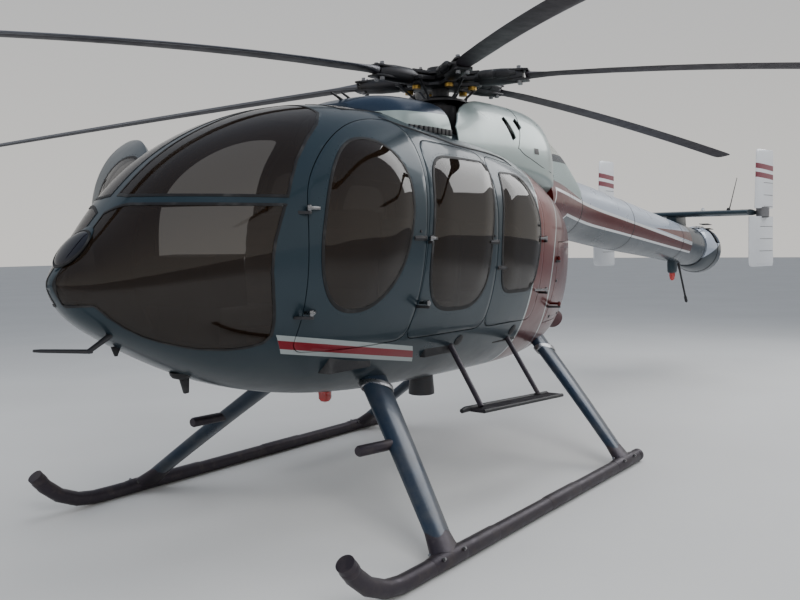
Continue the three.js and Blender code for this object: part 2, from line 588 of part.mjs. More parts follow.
// A cover's inner form: its rows thinned, and drawn in by the cover's thickness at both ends.
function voidRows(rows) {
  const inner = thinned(rows, COVER, 300);
  inner[0].x -= COVER;
  inner.at(-1).x += COVER;
  return inner;
}
const roofVoid = eggs(voidRows(ROOF_FAIRING), 2, 2, 12);
place("roof_fairing", eggs(ROOF_FAIRING, 3.2, 2, 20).subtract(podTight).subtract(roofVoid), PAINT_GREY);
const SLOTS = [
  { at: [-196, 2400], size: [70, 165], lean: 23 },
  { at: [-348, 2445], size: [78, 76], lean: 23 },
];
let engineFairing = eggs(ENGINE_FAIRING, 2.6, 2, 24).subtract(podTight).subtract(boomTight);
engineFairing = engineFairing.subtract(eggs(voidRows(ENGINE_FAIRING), 2.6, 2, 12));
engineFairing = engineFairing.subtract(sidePlate(FAIRING_FRONT, -REACH, REACH));
engineFairing = engineFairing.subtract(bar([0, 0, 2300], [0, 0, 2800], MAST_HOLE, MAST_HOLE, 20))
  .subtract(box(0, 600, -MAST_HOLE, MAST_HOLE, 2300, 2800));
for (const { at, size, lean } of SLOTS) {
  const g = new THREE.BoxGeometry(size[0], 140, size[1]).rotateY(radians(lean)).translate(at[0], 395, at[1]);
  const slot = solid(g);
  engineFairing = engineFairing.subtract(slot).subtract(mirrored(slot));
}
place("engine_fairing", engineFairing, PAINT_GREY);
const screenVoid = eggs(thinned(SCREEN.slice(0, -1), COVER, 300), 2.2, 2, 20);
const screen = eggs(SCREEN, 2.2, 2, 20).subtract(podTight).subtract(boomTight);
place("inlet_screen", screen.subtract(screenVoid), MESH_GREY);

place("mast_housing", bar([0, 0, 2200], [0, 0, 2575], 165, 110, 20).subtract(podTight), DARK_METAL);

// Thruster can on the boom's end, turned about the boom's own line
const CAN_PROFILE = [
  // radius and distance along the can
  [0, 0], [237, 0], [268, 150], [290, 300], [291, 430], [268, 500], [150, 536], [0, 545],
];
const CAN_BORE = [[0, -1], [216, -1], [248, 150], [270, 300], [270, 410], [245, 470], [120, 505], [0, 510]];
function canSolid(profile) {
  const points = profile.map(([r, h]) => new THREE.Vector2(r, h));
  const g = new THREE.LatheGeometry(points, 18).rotateZ(Math.PI / 2);
  g.rotateY(-BOOM_TILT);
  return solid(g.translate(...CAN_START));
}
const canWindow = box(-5900, -5700, 60, 400, 1560, 1860);
place("thruster_can", canSolid(CAN_PROFILE).subtract(canSolid(CAN_BORE)).subtract(canWindow), PAINT_BLUE);

// Tailplane and fins
const TAILPLANE_Z = 1905;
const TAILPLANE = [
  // thickness at a share of the chord, from the front edge
  [0, 0], [0.06, 20], [0.25, 34], [0.5, 33], [0.8, 16], [1, 3],
];
function wing(front, chord, thin, at) {
  const upper = TAILPLANE.map(([c, t]) => [front - c * chord, TAILPLANE_Z + t * thin]);
  const lower = TAILPLANE.slice(1).map(([c, t]) => [front - c * chord, TAILPLANE_Z - t * thin]).reverse();
  return [...upper, ...lower].map(([x, z]) => [x, at, z]);
}
const FIN_Y = 955;
const FIN_HUB = 72;
const TAILPLANE_HALF = FIN_Y - FIN_HUB - GAP;
const saddle = box(-5250, -4880, -60, 60, 1700, TAILPLANE_Z).subtract(boomTight);
const whip = bar([-4900, 650, TAILPLANE_Z + 10], [-5230, 650, 2320], 7, 4, 8);
const tailLight = bar([-5000, 330, TAILPLANE_Z], [-5000, 330, TAILPLANE_Z + 75], 22, 18, 10);
const tailplane = union(
  loft([-TAILPLANE_HALF, 0, TAILPLANE_HALF].map((y) => wing(-4780, 540, 1, y))), saddle, whip, tailLight,
);
place("tailplane", (tailplane), PAINT_BLUE);

const FIN_AXIS_X = -5166;
const FIN_UPPER = [
  // height from the tailplane, front edge and rear edge ahead of or behind the pivot, and half thickness
  { z: 717, front: 122, rear: -212, half: 9 },
  { z: 690, front: 162, rear: -226, half: 12 },
  { z: 48, front: 176, rear: -238, half: 21 },
];
const FIN_LOWER = [
  { z: -45, front: 305, rear: -242, half: 23 },
  { z: -570, front: 300, rear: -258, half: 15 },
  { z: -618, front: 240, rear: -235, half: 9 },
];
const FIN_TURN = { left: -14, right: 5 }; // degrees; the right one is mirrored, so both point the same way
const finHalf = (rows) => loft(rows.map(({ z, front, rear, half }) => {
  const shares = [[1, 0], [0.82, 0.7], [0.5, 1], [0, 0.15]];
  const side = (sign) => shares.map(([s, t]) => [rear + s * (front - rear), sign * t * half, z]);
  return [...side(1), ...side(-1).slice(1).reverse()];
}));
const finHub = bar([0, 0, -60], [0, 0, 62], FIN_HUB, FIN_HUB, 24);
const finSolid = union(finHalf(FIN_UPPER), finHalf(FIN_LOWER), finHub);
for (const [side, turn] of sides) {
  const fin = shifted(spun(finSolid, FIN_TURN[side]), FIN_AXIS_X, FIN_Y, TAILPLANE_Z);
  place(`fin_${side}`, turn(fin), FIN_WHITE);
}

// Rotor: hub with six arms, swashplate, links and the blades
const BLADE_ROOT = 620;
const BLADE_SAG = [2, 2, 2, 1.4, 1.3, 1.1]; // for each blade: 1 hangs straight, 2 bends on the way
const BLADE_TWIST = [2, -5]; // degrees, at the root and at the tip
const bladeZ = (r, sag) => HUB_HEIGHT - BLADE_DROOP * (Math.max(r - 500, 0) / 3700) ** sag;
const BLADE_RINGS = [
  // distance from the mast, chord and how thick against the plain section
  [BLADE_ROOT + GAP, 120, 2.6], [700, 150, 1.9], [860, 172, 1],
  [1700, 172, 1], [2600, 172, 1], [3400, 172, 1],
  [ROTOR_RADIUS, 172, 1],
];
const AIRFOIL = [[0.5, 0], [0.4, 10], [0.1, 12], [-0.5, 2], [-0.5, -2], [0.1, -10], [0.4, -8]];
const blade = (sag) => loft(BLADE_RINGS.map(([r, chord, thick]) => {
  const twist = Math.tan(radians(THREE.MathUtils.mapLinear(r, BLADE_ROOT, ROTOR_RADIUS, ...BLADE_TWIST)));
  return AIRFOIL.map(([c, t]) => [r, c * chord, bladeZ(r, sag) + thick * t + twist * c * chord]);
}));
const arm = union(
  box(120, BLADE_ROOT, -60, 60, HUB_HEIGHT - 44, HUB_HEIGHT + 44),
  bar([300, -84, HUB_HEIGHT + 6], [560, -84, HUB_HEIGHT + 6], 34, 30, 8),
  bar([570, 0, HUB_HEIGHT - 60], [570, 0, HUB_HEIGHT + 66], 24, 24, 6),
);
const link = bar([118, 30, HUB_HEIGHT - 145], [290, 90, HUB_HEIGHT - 10], 13, 13, 6);
let hub = union(
  bar([0, 0, HUB_HEIGHT - 62], [0, 0, HUB_HEIGHT + 58], 250, 235, 18),
  bar([0, 0, HUB_HEIGHT + 50], [0, 0, HUB_HEIGHT + 96], 120, 95, 12),
  bar([0, 0, 2575 + GAP], [0, 0, HUB_HEIGHT], 62, 62, 12),
  bar([0, 0, HUB_HEIGHT - 160], [0, 0, HUB_HEIGHT - 128], 142, 142, 16),
);
for (let k = 0; k < BLADE_COUNT; k++) {
  const angle = (k * 360) / BLADE_COUNT + ROTOR_ANGLE;
  hub = hub.add(spun(union(arm, link), angle));
  place(`blade_${k + 1}`, spun(blade(BLADE_SAG[k]), angle), PAINT_BLADE);
}
place("rotor_hub", (hub), DARK_METAL);

// Landing gear and boarding steps
const SKID_RADIUS = 45;
const SKID_SIDES = 12;
const SKID_Z = SKID_RADIUS * Math.cos(Math.PI / SKID_SIDES); // the tube rests on one of its flats
const SKID_PATH = [
  [-747, SKID_Z], [2120, SKID_Z], [2250, 62], [2370, 115], [2460, 190], [2517, 263],
];
function tube(points, radius, sides) {
  const path = points.map((p) => new THREE.Vector3(...p));
  return loft(path.map((p, i) => {
    const along = path[Math.min(i + 1, path.length - 1)].clone().sub(path[Math.max(i - 1, 0)]).normalize();
    const across = new THREE.Vector3(0, 1, 0);
    const up = new THREE.Vector3().crossVectors(along, across).normalize();
    return Array.from({ length: sides }, (_, k) => {
      const angle = (2 * Math.PI * (k + 0.5)) / sides;
      const [c, s] = [radius * Math.cos(angle), radius * Math.sin(angle)];
      const q = p.clone().addScaledVector(across, c).addScaledVector(up, s);
      return q.toArray();
    });
  }));
}
function leg(top, foot, chords, thicks) {
  const [a, b] = [new THREE.Vector3(...top), new THREE.Vector3(...foot)];
  const along = b.clone().sub(a).normalize();
  const wide = new THREE.Vector3(1, 0, 0).addScaledVector(along, -along.x).normalize();
  const thin = new THREE.Vector3().crossVectors(along, wide);
  return loft([0, 1].map((t) => {
    const p = a.clone().lerp(b, t);
    return Array.from({ length: 12 }, (_, k) => {
      const angle = (2 * Math.PI * k) / 12;
      return p.clone().addScaledVector(wide, (chords[t] / 2) * Math.cos(angle))
        .addScaledVector(thin, (thicks[t] / 2) * Math.sin(angle)).toArray();
    });
  }));
}
const gear = union(
  tube(SKID_PATH.map(([x, z]) => [x, TRACK_HALF, z]), SKID_RADIUS, SKID_SIDES),
  leg([1173, 203, 920], [1748, 1192, 50], [226, 160], [82, 66]),
  leg([-925, 210, 915], [-490, 1192, 50], [210, 150], [80, 64]),
  bar([1450, 690, 500], [1785, 660, 512], 32, 32, 10),
).subtract(podTight);
const stepFrame = union(
  sidePlate([[860, 578], [860, 602], [-170, 546], [-170, 522]], 762, 872),
  bar([940, 770, 596], [-150, 770, 536], 20, 20, 8),
  bar([640, 400, 1080], [835, 850, 588], 19, 19, 8),
  bar([-110, 380, 1060], [20, 800, 548], 19, 19, 8),
).subtract(podTight);
for (const [side, turn] of sides) {
  place(`landing_gear_${side}`, turn(gear), PAINT_GEAR);
  place(`boarding_step_${side}`, turn(stepFrame), SKID_BLACK);
}

// The origin goes to the middle of the ground that the machine covers.
const covered = new THREE.Box3().setFromObject(group);
group.position.x = -(covered.min.x + covered.max.x) / 2;
group.updateMatrixWorld(true);

export default group;
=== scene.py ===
"""Looks of the helicopter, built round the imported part, which stays as it is.

Lengths are in metres. The drawing's origin lies on the ground under the rotor's mast, with X pointing
forward, Y to the helicopter's left and Z up. Each finished mesh is moved to the row frame by the mast's
place in the CAD, so every object sits at the origin with its place in its mesh.
"""

from __future__ import annotations

import logging
import math
from dataclasses import dataclass, field
from enum import Enum
from typing import Callable, Iterable, Sequence

import bpy
import numpy as np
from mathutils import Matrix, Vector
from mathutils.geometry import delaunay_2d_cdt


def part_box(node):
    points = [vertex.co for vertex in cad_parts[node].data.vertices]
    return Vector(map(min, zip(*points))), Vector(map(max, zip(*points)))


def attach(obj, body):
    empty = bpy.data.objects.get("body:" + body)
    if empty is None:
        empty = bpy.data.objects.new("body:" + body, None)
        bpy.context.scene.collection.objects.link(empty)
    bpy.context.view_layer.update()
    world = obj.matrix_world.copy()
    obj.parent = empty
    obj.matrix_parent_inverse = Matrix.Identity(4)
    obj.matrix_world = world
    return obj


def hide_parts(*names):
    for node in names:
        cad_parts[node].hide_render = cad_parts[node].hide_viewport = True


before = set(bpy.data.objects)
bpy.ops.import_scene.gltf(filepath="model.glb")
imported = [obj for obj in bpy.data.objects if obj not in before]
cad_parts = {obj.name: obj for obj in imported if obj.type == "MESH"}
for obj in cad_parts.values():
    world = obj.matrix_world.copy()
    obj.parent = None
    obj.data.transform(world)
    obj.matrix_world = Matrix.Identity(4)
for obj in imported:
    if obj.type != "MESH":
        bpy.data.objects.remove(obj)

LOG = logging.getLogger("helicopter")
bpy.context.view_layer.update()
MAST_X = sum(corner.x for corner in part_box("mast_housing")) / 2
UP = Vector((0.0, 0.0, 1.0))
TO_ROW = Vector((MAST_X, 0.0, 0.0))  # from the drawing's origin to the row frame's
ACROSS = Matrix.Scale(-1.0, 4, Vector((0.0, 1.0, 0.0)))  # the mirror over the centreline
SMOOTH_BELOW = 35.0  # faces that meet at less than this many degrees are shaded as one

Array = np.ndarray
Object = bpy.types.Object
Pair = tuple[float, float]
Triple = tuple[float, float, float]
Point = Sequence[float]
Flat = Sequence[Point]


# --------------------------------------------------------------------------------------------------
# The bench: operators that add, shape and finish one piece at a time
# --------------------------------------------------------------------------------------------------


class Plane(Enum):
    """The plane in which an outline is drawn."""

    XY = "xy"
    XZ = "xz"
    YZ = "yz"

    def point(self, u: float, v: float, w: float) -> Triple:
        """Returns the place of (u, v) on this plane, w along the third axis."""
        if self is Plane.XY:
            return (u, v, w)
        return (u, w, v) if self is Plane.XZ else (w, u, v)

    def along(self, w: float) -> Vector:
        """Returns the step of length w along the third axis."""
        return Vector(self.point(0.0, 0.0, w))


def clear() -> None:
    """Deselects everything."""
    bpy.ops.object.select_all(action="DESELECT")


def take(*objects: Object) -> None:
    """Selects only these objects and makes the first one active."""
    clear()
    for obj in objects:
        obj.select_set(True)
    bpy.context.view_layer.objects.active = objects[0]


def fresh(name: str) -> Object:
    """Names the primitive that was just added and applies its place and turn."""
    obj = bpy.context.object
    obj.name = obj.data.name = name
    take(obj)
    bpy.ops.object.transform_apply(location=True, rotation=True, scale=True)
    return obj


def edit(obj: Object, *steps: Callable[[], object]) -> None:
    """Runs edit-mode operators on the whole of one piece.

    Args:
        obj: the piece.
        steps: calls without arguments, run in order with everything selected first.
    """
    take(obj)
    bpy.ops.object.mode_set(mode="EDIT")
    bpy.ops.mesh.select_all(action="SELECT")
    for step in steps:
        step()
    bpy.ops.object.mode_set(mode="OBJECT")


def outward() -> None:
    """Turns the selected faces outwards."""
    bpy.ops.mesh.normals_make_consistent(inside=False)


def weld(distance: float = 1e-5) -> Callable[[], object]:
    """Returns a step that merges doubles."""
    return lambda: bpy.ops.mesh.remove_doubles(threshold=distance)


def modify(obj: Object, kind: str, **settings: object) -> Object:
    """Adds a modifier to a piece and applies it at once.

    Args:
        obj: the piece.
        kind: the modifier's type.
        settings: its values by name.

    Returns:
        The same piece.
    """
    modifier = obj.modifiers.new(kind.title(), kind)
    for key, value in settings.items():
        setattr(modifier, key, value)
    take(obj)
    bpy.ops.object.modifier_apply(modifier=modifier.name)
    return obj


def rounded(obj: Object, width: float, segments: int = 2, angle: float = 40.0) -> Object:
    """Bevels a piece's sharp edges."""
    return modify(obj, "BEVEL", width=width, segments=segments, limit_method="ANGLE",
                  angle_limit=math.radians(angle), use_clamp_overlap=True)


def cut(obj: Object, *cutters: Object) -> Object:
    """Takes other pieces' forms out of a piece; the cutters are used up."""
    for cutter in cutters:
        modify(obj, "BOOLEAN", operation="DIFFERENCE", solver="EXACT", object=cutter)
        bpy.data.objects.remove(cutter)
    return obj


def joined(name: str, parts: Sequence[Object]) -> Object:
    """Joins several meshes into one object."""
    take(*parts)
    if len(parts) > 1:
        bpy.ops.object.join()
    obj = bpy.context.object
    obj.name = obj.data.name = name
    return obj


def flipped(obj: Object) -> Object:
    """Mirrors a piece's mesh over the centreline."""
    obj.data.transform(ACROSS)
    obj.data.flip_normals()
    return obj


def mirrored(obj: Object, name: str) -> Object:
    """Returns a copy of a piece on the other side of the centreline, with its own mesh."""
    other = obj.copy()
    other.data = obj.data.copy()
    other.name = other.data.name = name
    bpy.context.scene.collection.objects.link(other)
    return flipped(other)


def pair(obj: Object) -> list[Object]:
    """Returns a piece with its mirror image."""
    return [obj, mirrored(obj, f"{obj.name}_right")]


def turned(obj: Object, matrix: Matrix) -> Object:
    """Moves a piece's mesh by a matrix."""
    obj.data.transform(matrix)
    return obj


def about(pivot: Point, axis: Point, degrees: float) -> Matrix:
    """Returns the turn by some degrees round an axis through a point."""
    spin = Matrix.Rotation(math.radians(degrees), 4, Vector(axis))
    return Matrix.Translation(pivot) @ spin @ Matrix.Translation(-Vector(pivot))


def plate(name: str, outline: Flat, plane: Plane, low: float, high: float) -> Object:
    """Makes a flat plate with any outline.

    Args:
        name: the piece's name.
        outline: its corners in the plane.
        plane: the plane in which the outline is drawn.
        low: where the plate starts along the third axis.
        high: where it ends.

    Returns:
        The new piece.
    """
    clear()
    bpy.ops.mesh.primitive_circle_add(vertices=len(outline), fill_type="NGON")
    obj = fresh(name)
    for vertex, (u, v) in zip(obj.data.vertices, outline):
        vertex.co = plane.point(u, v, low)
    step = plane.along(high - low)
    edit(obj, lambda: bpy.ops.mesh.extrude_region_move(TRANSFORM_OT_translate={"value": step}),
         lambda: bpy.ops.mesh.select_all(action="SELECT"), outward)
    return obj


def block(name: str, low: Point, high: Point, soft: float = 0.0) -> Object:
    """Makes a box between two corners, with its edges eased by `soft`."""
    middle = [(a + b) / 2 for a, b in zip(low, high)]
    clear()
    bpy.ops.mesh.primitive_cube_add(size=1, location=middle, scale=[abs(b - a) for a, b in zip(low, high)])
    obj = fresh(name)
    return rounded(obj, soft, 3) if soft else obj


def drum(name: str, start: Point, end: Point, radius: float, tip: float | None = None,
         sides: int = 32, soft: float = 0.0) -> Object:
    """Makes a round bar or cone between two points.

    Args:
        name: the piece's name.
        start: the middle of its first end.
        end: the middle of its other end.
        radius: the radius at the start.
        tip: the radius at the end, or None for the same.
        sides: how many sides its circle has.
        soft: how far its edges are eased.

    Returns:
        The new piece.
    """
    a, b = Vector(start), Vector(end)
    turn = (b - a).to_track_quat("Z", "Y").to_euler()
    clear()
    bpy.ops.mesh.primitive_cone_add(vertices=sides, radius1=radius, radius2=radius if tip is None else tip,
                                    depth=(b - a).length, location=(a + b) / 2, rotation=turn)
    obj = fresh(name)
    return rounded(obj, soft, 2) if soft else obj


def hoop(name: str, centre: Point, axis: Point, major: float, minor: float,
         sides: int = 48) -> Object:
    """Makes a round ring about an axis."""
    turn = Vector(axis).to_track_quat("Z", "Y").to_euler()
    clear()
    bpy.ops.mesh.primitive_torus_add(major_radius=major, minor_radius=minor, major_segments=sides,
                                     minor_segments=10, location=centre, rotation=turn)
    return fresh(name)


def loft(name: str, rings: Array, caps: bool = True, closed: bool = True) -> Object:
    """Bends a grid through rings of points.

    Args:
        name: the piece's name.
        rings: places as an array of (ring, point, xyz).
        caps: whether the first and last ring are filled.
        closed: whether each ring comes back to its first point.

    Returns:
        The new piece, whose UV map runs round each ring and along the rings.
    """
    rings = np.asarray(rings, float)
    if closed:
        rings = np.concatenate([rings, rings[:, :1]], axis=1)
    count, sides = rings.shape[:2]
    clear()
    bpy.ops.mesh.primitive_grid_add(x_subdivisions=sides - 1, y_subdivisions=count - 1, size=2)
    obj = fresh(name)
    obj.data.vertices.foreach_set("co", rings.reshape(-1))
    obj.data.update()

    def fill() -> None:
        """Fills the open ends."""
        bpy.ops.mesh.select_all(action="DESELECT")
        bpy.ops.mesh.select_mode(type="EDGE")
        bpy.ops.mesh.select_non_manifold()
        bpy.ops.mesh.fill_holes(sides=0)
        bpy.ops.mesh.select_mode(type="VERT")
        bpy.ops.mesh.select_all(action="SELECT")

    edit(obj, weld(), *([fill] if caps else []), outward)
    return obj


def rod(name: str, points: Flat, radii: float | Point, sides: int = 16,
        oval: float = 1.0) -> Object:
    """Makes a tube along a path.

    Args:
        name: the piece's name.
        points: the path.
        radii: one radius, or one for each point.
        sides: how many sides its section has.
        oval: how flat the section is, as its height against its width.

    Returns:
        The new piece.
    """
    path = [Vector(p) for p in points]
    sizes = [radii] * len(path) if isinstance(radii, (int, float)) else list(radii)
    side = None
    rings = []
    for i, place in enumerate(path):
        ahead = (path[min(i + 1, len(path) - 1)] - path[max(i - 1, 0)]).normalized()
        if side is None:
            side = ahead.cross(UP) if abs(ahead.z) < 0.95 else ahead.cross(Vector((1.0, 0.0, 0.0)))
        side = (side - ahead * side.dot(ahead)).normalized()
        other = ahead.cross(side)
        rings.append([place + side * math.cos(a) * sizes[i] + other * math.sin(a) * sizes[i] * oval
                      for a in (2 * math.pi * k / sides for k in range(sides))])
    return loft(name, np.array([[list(q) for q in ring] for ring in rings]))


def lathe(name: str, profile: Flat, start: Point, axis: Point,
          sides: int = 64) -> Object:
    """Turns a profile of (radius, distance) round an axis from a point."""
    line = Vector(axis).normalized()
    side = line.orthogonal().normalized()
    other = line.cross(side)
    angles = [2 * math.pi * k / sides for k in range(sides)]
    rings = [[list(Vector(start) + line * h + (side * math.cos(a) + other * math.sin(a)) * max(r, 1e-4))
              for a in angles] for r, h in profile]
    return loft(name, np.array(rings))


def meshed(name: str, points: Array, faces: Sequence[Sequence[int]]) -> Object:
    """Makes a piece from points and faces."""
    mesh = bpy.data.meshes.new(name)
    mesh.from_pydata(points.tolist(), [], faces)
    obj = bpy.data.objects.new(name, mesh)
    bpy.context.scene.collection.objects.link(obj)
    return obj


def stamped(name: str, source: Object, places: Iterable[Matrix]) -> Object:
    """Copies one small piece to many places as a single mesh; the source is used up."""
    co = np.array([v.co for v in source.data.vertices])
    faces = [tuple(p.vertices) for p in source.data.polygons]
    bpy.data.objects.remove(source)
    points, polygons = [], []
    for matrix in places:
        first = len(points) * len(co)
        m = np.array(matrix)
        points.append(co @ m[:3, :3].T + m[:3, 3])
        polygons.extend([tuple(first + i for i in face) for face in faces])
    return meshed(name, np.concatenate(points), polygons)


def facing(place: Point, normal: Point, size: float = 1.0) -> Matrix:
    """Returns the matrix that sets a piece down at a place, its Z along the normal."""
    turn = Vector(normal).to_track_quat("Z", "Y").to_matrix().to_4x4()
    return Matrix.Translation(place) @ turn @ Matrix.Scale(size, 4)


def rivet(radius: float, height: float) -> Object:
    """Makes one low round head, for stamping."""
    clear()
    bpy.ops.mesh.primitive_cone_add(vertices=8, radius1=radius, radius2=radius * 0.55, depth=height,
                                    end_fill_type="NGON")
    return fresh("rivet")


def bolt(radius: float, height: float) -> Object:
    """Makes one hexagonal head on a washer, for stamping."""
    washer = drum("washer", (0, 0, 0), (0, 0, height * 0.3), radius * 1.35, sides=14)
    head = drum("head", (0, 0, height * 0.3), (0, 0, height), radius, sides=6)
    return joined("bolt", [washer, head])


def full_turn(count: int) -> Array:
    """Gives evenly spread angles round a full turn."""
    return np.linspace(0, 2 * math.pi, count, endpoint=False)


def polar(radius: float, angle: float, z: float) -> Triple:
    """Gives the place at a distance and an angle round an upright axis."""
    return radius * math.cos(angle), radius * math.sin(angle), z


def wing(share: Array | float) -> Array | float:
    """Gives the form of a wing section's upper side, from 0 at the leading edge to 1 at the trailing edge."""
    return 1.48 * share ** 0.5 - 0.63 * share - 1.76 * share ** 2 + 1.42 * share ** 3 - 0.508 * share ** 4


def wing_section(count: int) -> tuple[Array, Array]:
    """Gives the points round a wing section: their share of the chord, and their height as `wing` has it."""
    turn = full_turn(count)
    share = (1 - np.cos(turn)) / 2
    return share, np.sign(np.sin(turn)) * wing(share)


@dataclass
class Piece:
    """A finished mesh with its slot, its finishes, what it replaces and what it rides on."""

    obj: Object
    slot: str
    finishes: Sequence["Finish"]
    replaces: Sequence[str] = ()
    body: str = "airframe"

    def seat(self) -> Object:
        """Moves the piece to the row frame, dresses it, and hands it to the frame.

        Returns:
            The piece's object.
        """
        obj = self.obj
        obj.data.transform(Matrix.Translation(TO_ROW))
        for index, finish in enumerate(self.finishes):
            if index < len(obj.data.materials):
                obj.data.materials[index] = finish.material()
            else:
                obj.data.materials.append(finish.material())
        take(obj)
        bpy.ops.object.shade_smooth_by_angle(angle=math.radians(SMOOTH_BELOW))
        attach(obj, self.body)
        if self.replaces:
            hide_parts(*self.replaces)
        LOG.info("%s rides on %s", obj.name, self.body)
        return obj


def seat_sides(obj: Object, slot: str, finishes: Sequence["Finish"], stands: str = "", body: str = "airframe",
               opened: Matrix | None = None, right: Sequence["Finish"] = ()) -> None:
    """Seats a left piece and its mirror image.

    Args:
        obj: the left piece, named without its side.
        slot: the slot of both.
        finishes: the finishes of both.
        stands: the node that each replaces, if any, with {} for the side.
        body: what each rides on, with {} for the side.
        opened: the turn that takes the right piece to where it stands at rest.
        right: the right piece's finishes, where they differ.
    """
    other = mirrored(obj, f"{obj.name}_right")
    obj.name = f"{obj.name}_left"
    if opened is not None:
        turned(other, opened)
    for side, one, used in (("left", obj, finishes), ("right", other, right or finishes)):
        Piece(one, slot, used, [stands.format(side)] if stands else [], body.format(side)).seat()


# --------------------------------------------------------------------------------------------------
# The pod's form, and panels cut from it
# --------------------------------------------------------------------------------------------------

POD_ROWS = (
    # x, top, bottom, half width and the height where it is widest
    (3.083, 1.430, 1.430, 0.0, 1.430), (3.062, 1.475, 1.372, 0.062, 1.425), (3.000, 1.545, 1.285, 0.140, 1.422),
    (2.900, 1.652, 1.205, 0.228, 1.432), (2.750, 1.820, 1.118, 0.335, 1.460), (2.550, 2.003, 1.015, 0.445, 1.505),
    (2.300, 2.160, 0.905, 0.550, 1.560), (2.000, 2.288, 0.812, 0.636, 1.620), (1.600, 2.385, 0.735, 0.692, 1.672),
    (1.100, 2.420, 0.690, 0.714, 1.700), (0.500, 2.385, 0.672, 0.714, 1.700), (0.000, 2.325, 0.668, 0.700, 1.688),
    (-0.350, 2.245, 0.668, 0.664, 1.660), (-0.700, 2.140, 0.680, 0.596, 1.620), (-1.050, 2.030, 0.722, 0.486, 1.580),
    (-1.400, 1.900, 0.820, 0.330, 1.535), (-1.650, 1.760, 0.940, 0.178, 1.480), (-1.790, 1.430, 1.430, 0.0, 1.430),
)
FULL_TOP = 2.35  # how square the section is above its widest line
FULL_BOTTOM = 2.2  # and below it
GIRTH = 0.75  # metres of chart for each radian round the section
CENTRE_T = math.pi / 2 * GIRTH  # t on the roof's centreline
GRID = 0.026  # metres between the chart's inner points
FINE = 0.014  # metres between an outline's points
EDGE_STEP = 0.016  # metres between the points on a panel's edge


def spline(knots: Array, values: Array) -> Callable[[Array], Array]:
    """Returns a smooth curve through rows of values, straight at both ends.

    Args:
        knots: rising places.
        values: one row for each place.

    Returns:
        A call that gives the values at any places.
    """
    h = np.diff(knots)
    count = len(knots)
    matrix, right = np.eye(count), np.zeros_like(values)
    for i in range(1, count - 1):
        matrix[i, i - 1:i + 2] = h[i - 1], 2 * (h[i - 1] + h[i]), h[i]
        right[i] = 6 * ((values[i + 1] - values[i]) / h[i] - (values[i] - values[i - 1]) / h[i - 1])
    bend = np.linalg.solve(matrix, right)

    def at(places: Array) -> Array:
        """Gives the values at these places."""
        q = np.clip(places, knots[0], knots[-1])
        i = np.clip(np.searchsorted(knots, q) - 1, 0, count - 2)
        w = h[i]
        a, b = ((knots[i + 1] - q) / w)[..., None], ((q - knots[i]) / w)[..., None]
        w = w[..., None]
        return (a * values[i] + b * values[i + 1]
                + ((a ** 3 - a) * bend[i] + (b ** 3 - b) * bend[i + 1]) * w * w / 6)

    return at


def eased(corners: Flat, steps: int = 6) -> list[Pair]:
    """Rounds an outline's corners.

    Args:
        corners: (u, v, radius) for each corner.
        steps: points on each rounded corner.

    Returns:
        The outline's points.
    """
    made: list[Pair] = []
    for i, (u, v, radius) in enumerate(corners):
        here = Vector((u, v))
        if radius == 0:
            made.append((u, v))
            continue
        ends = []
        for other in (corners[i - 1], corners[(i + 1) % len(corners)]):
            side = Vector(other[:2]) - here
            ends.append(here + side.normalized() * min(radius, side.length * 0.49))
        for k in range(steps + 1):
            t = k / steps
            place = ends[0] * (1 - t) ** 2 + here * (2 * t * (1 - t)) + ends[1] * t * t
            made.append((place.x, place.y))
    return made


def resampled(outline: Flat, step: float = FINE) -> Array:
    """Spreads points along a closed outline, no farther apart than `step`, and keeps its corners."""
    points = [np.array(p, float) for p in outline]
    made = []
    for a, b in zip(points, points[1:] + points[:1]):
        pieces = max(1, math.ceil(float(np.linalg.norm(b - a)) / step))
        made.extend(a + (b - a) * k / pieces for k in range(pieces))
    return np.array(made)


def grown(outline: Array, distance: float) -> Array:
    """Moves a closed outline outwards by a distance; a negative one moves it inwards."""
    before, after = np.roll(outline, 1, axis=0), np.roll(outline, -1, axis=0)
    area = np.sum(before[:, 0] * outline[:, 1] - outline[:, 0] * before[:, 1])

    def normal(step: Array) -> Array:
        """Gives each step's outward normal."""
        side = np.stack([step[:, 1], -step[:, 0]], axis=1) * np.sign(area)
        return side / np.maximum(np.linalg.norm(side, axis=1, keepdims=True), 1e-9)

    one, two = normal(outline - before), normal(after - outline)
    mid = one + two
    mid /= np.maximum(np.linalg.norm(mid, axis=1, keepdims=True), 1e-9)
    stretch = distance / np.maximum(np.sum(mid * one, axis=1, keepdims=True), 0.5)
    return outline + mid * stretch


def inside(places: Array, outline: Array) -> Array:
    """Tells which places lie inside an outline."""
    x, y = places[:, 0][:, None], places[:, 1][:, None]
    x0, y0 = outline[:, 0][None], outline[:, 1][None]
    x1, y1 = np.roll(outline[:, 0], -1)[None], np.roll(outline[:, 1], -1)[None]
    crosses = ((y0 > y) != (y1 > y)) & (x < (x1 - x0) * (y - y0) / np.where(y1 == y0, 1e-12, y1 - y0) + x0)
    return crosses.sum(axis=1) % 2 == 1


def edge_distance(places: Array, outline: Array) -> Array:
    """Measures how far places lie from an outline."""
    a, b = outline, np.roll(outline, -1, axis=0)
    d = b - a
    span = np.maximum(np.sum(d * d, axis=1), 1e-12)
    best = np.full(len(places), 1e9)
    for start in range(0, len(places), 2000):
        q = places[start:start + 2000, None, :] - a[None]
        t = np.clip(np.sum(q * d[None], axis=2) / span[None], 0, 1)
        best[start:start + 2000] = np.linalg.norm(q - t[..., None] * d[None], axis=2).min(axis=1)
    return best


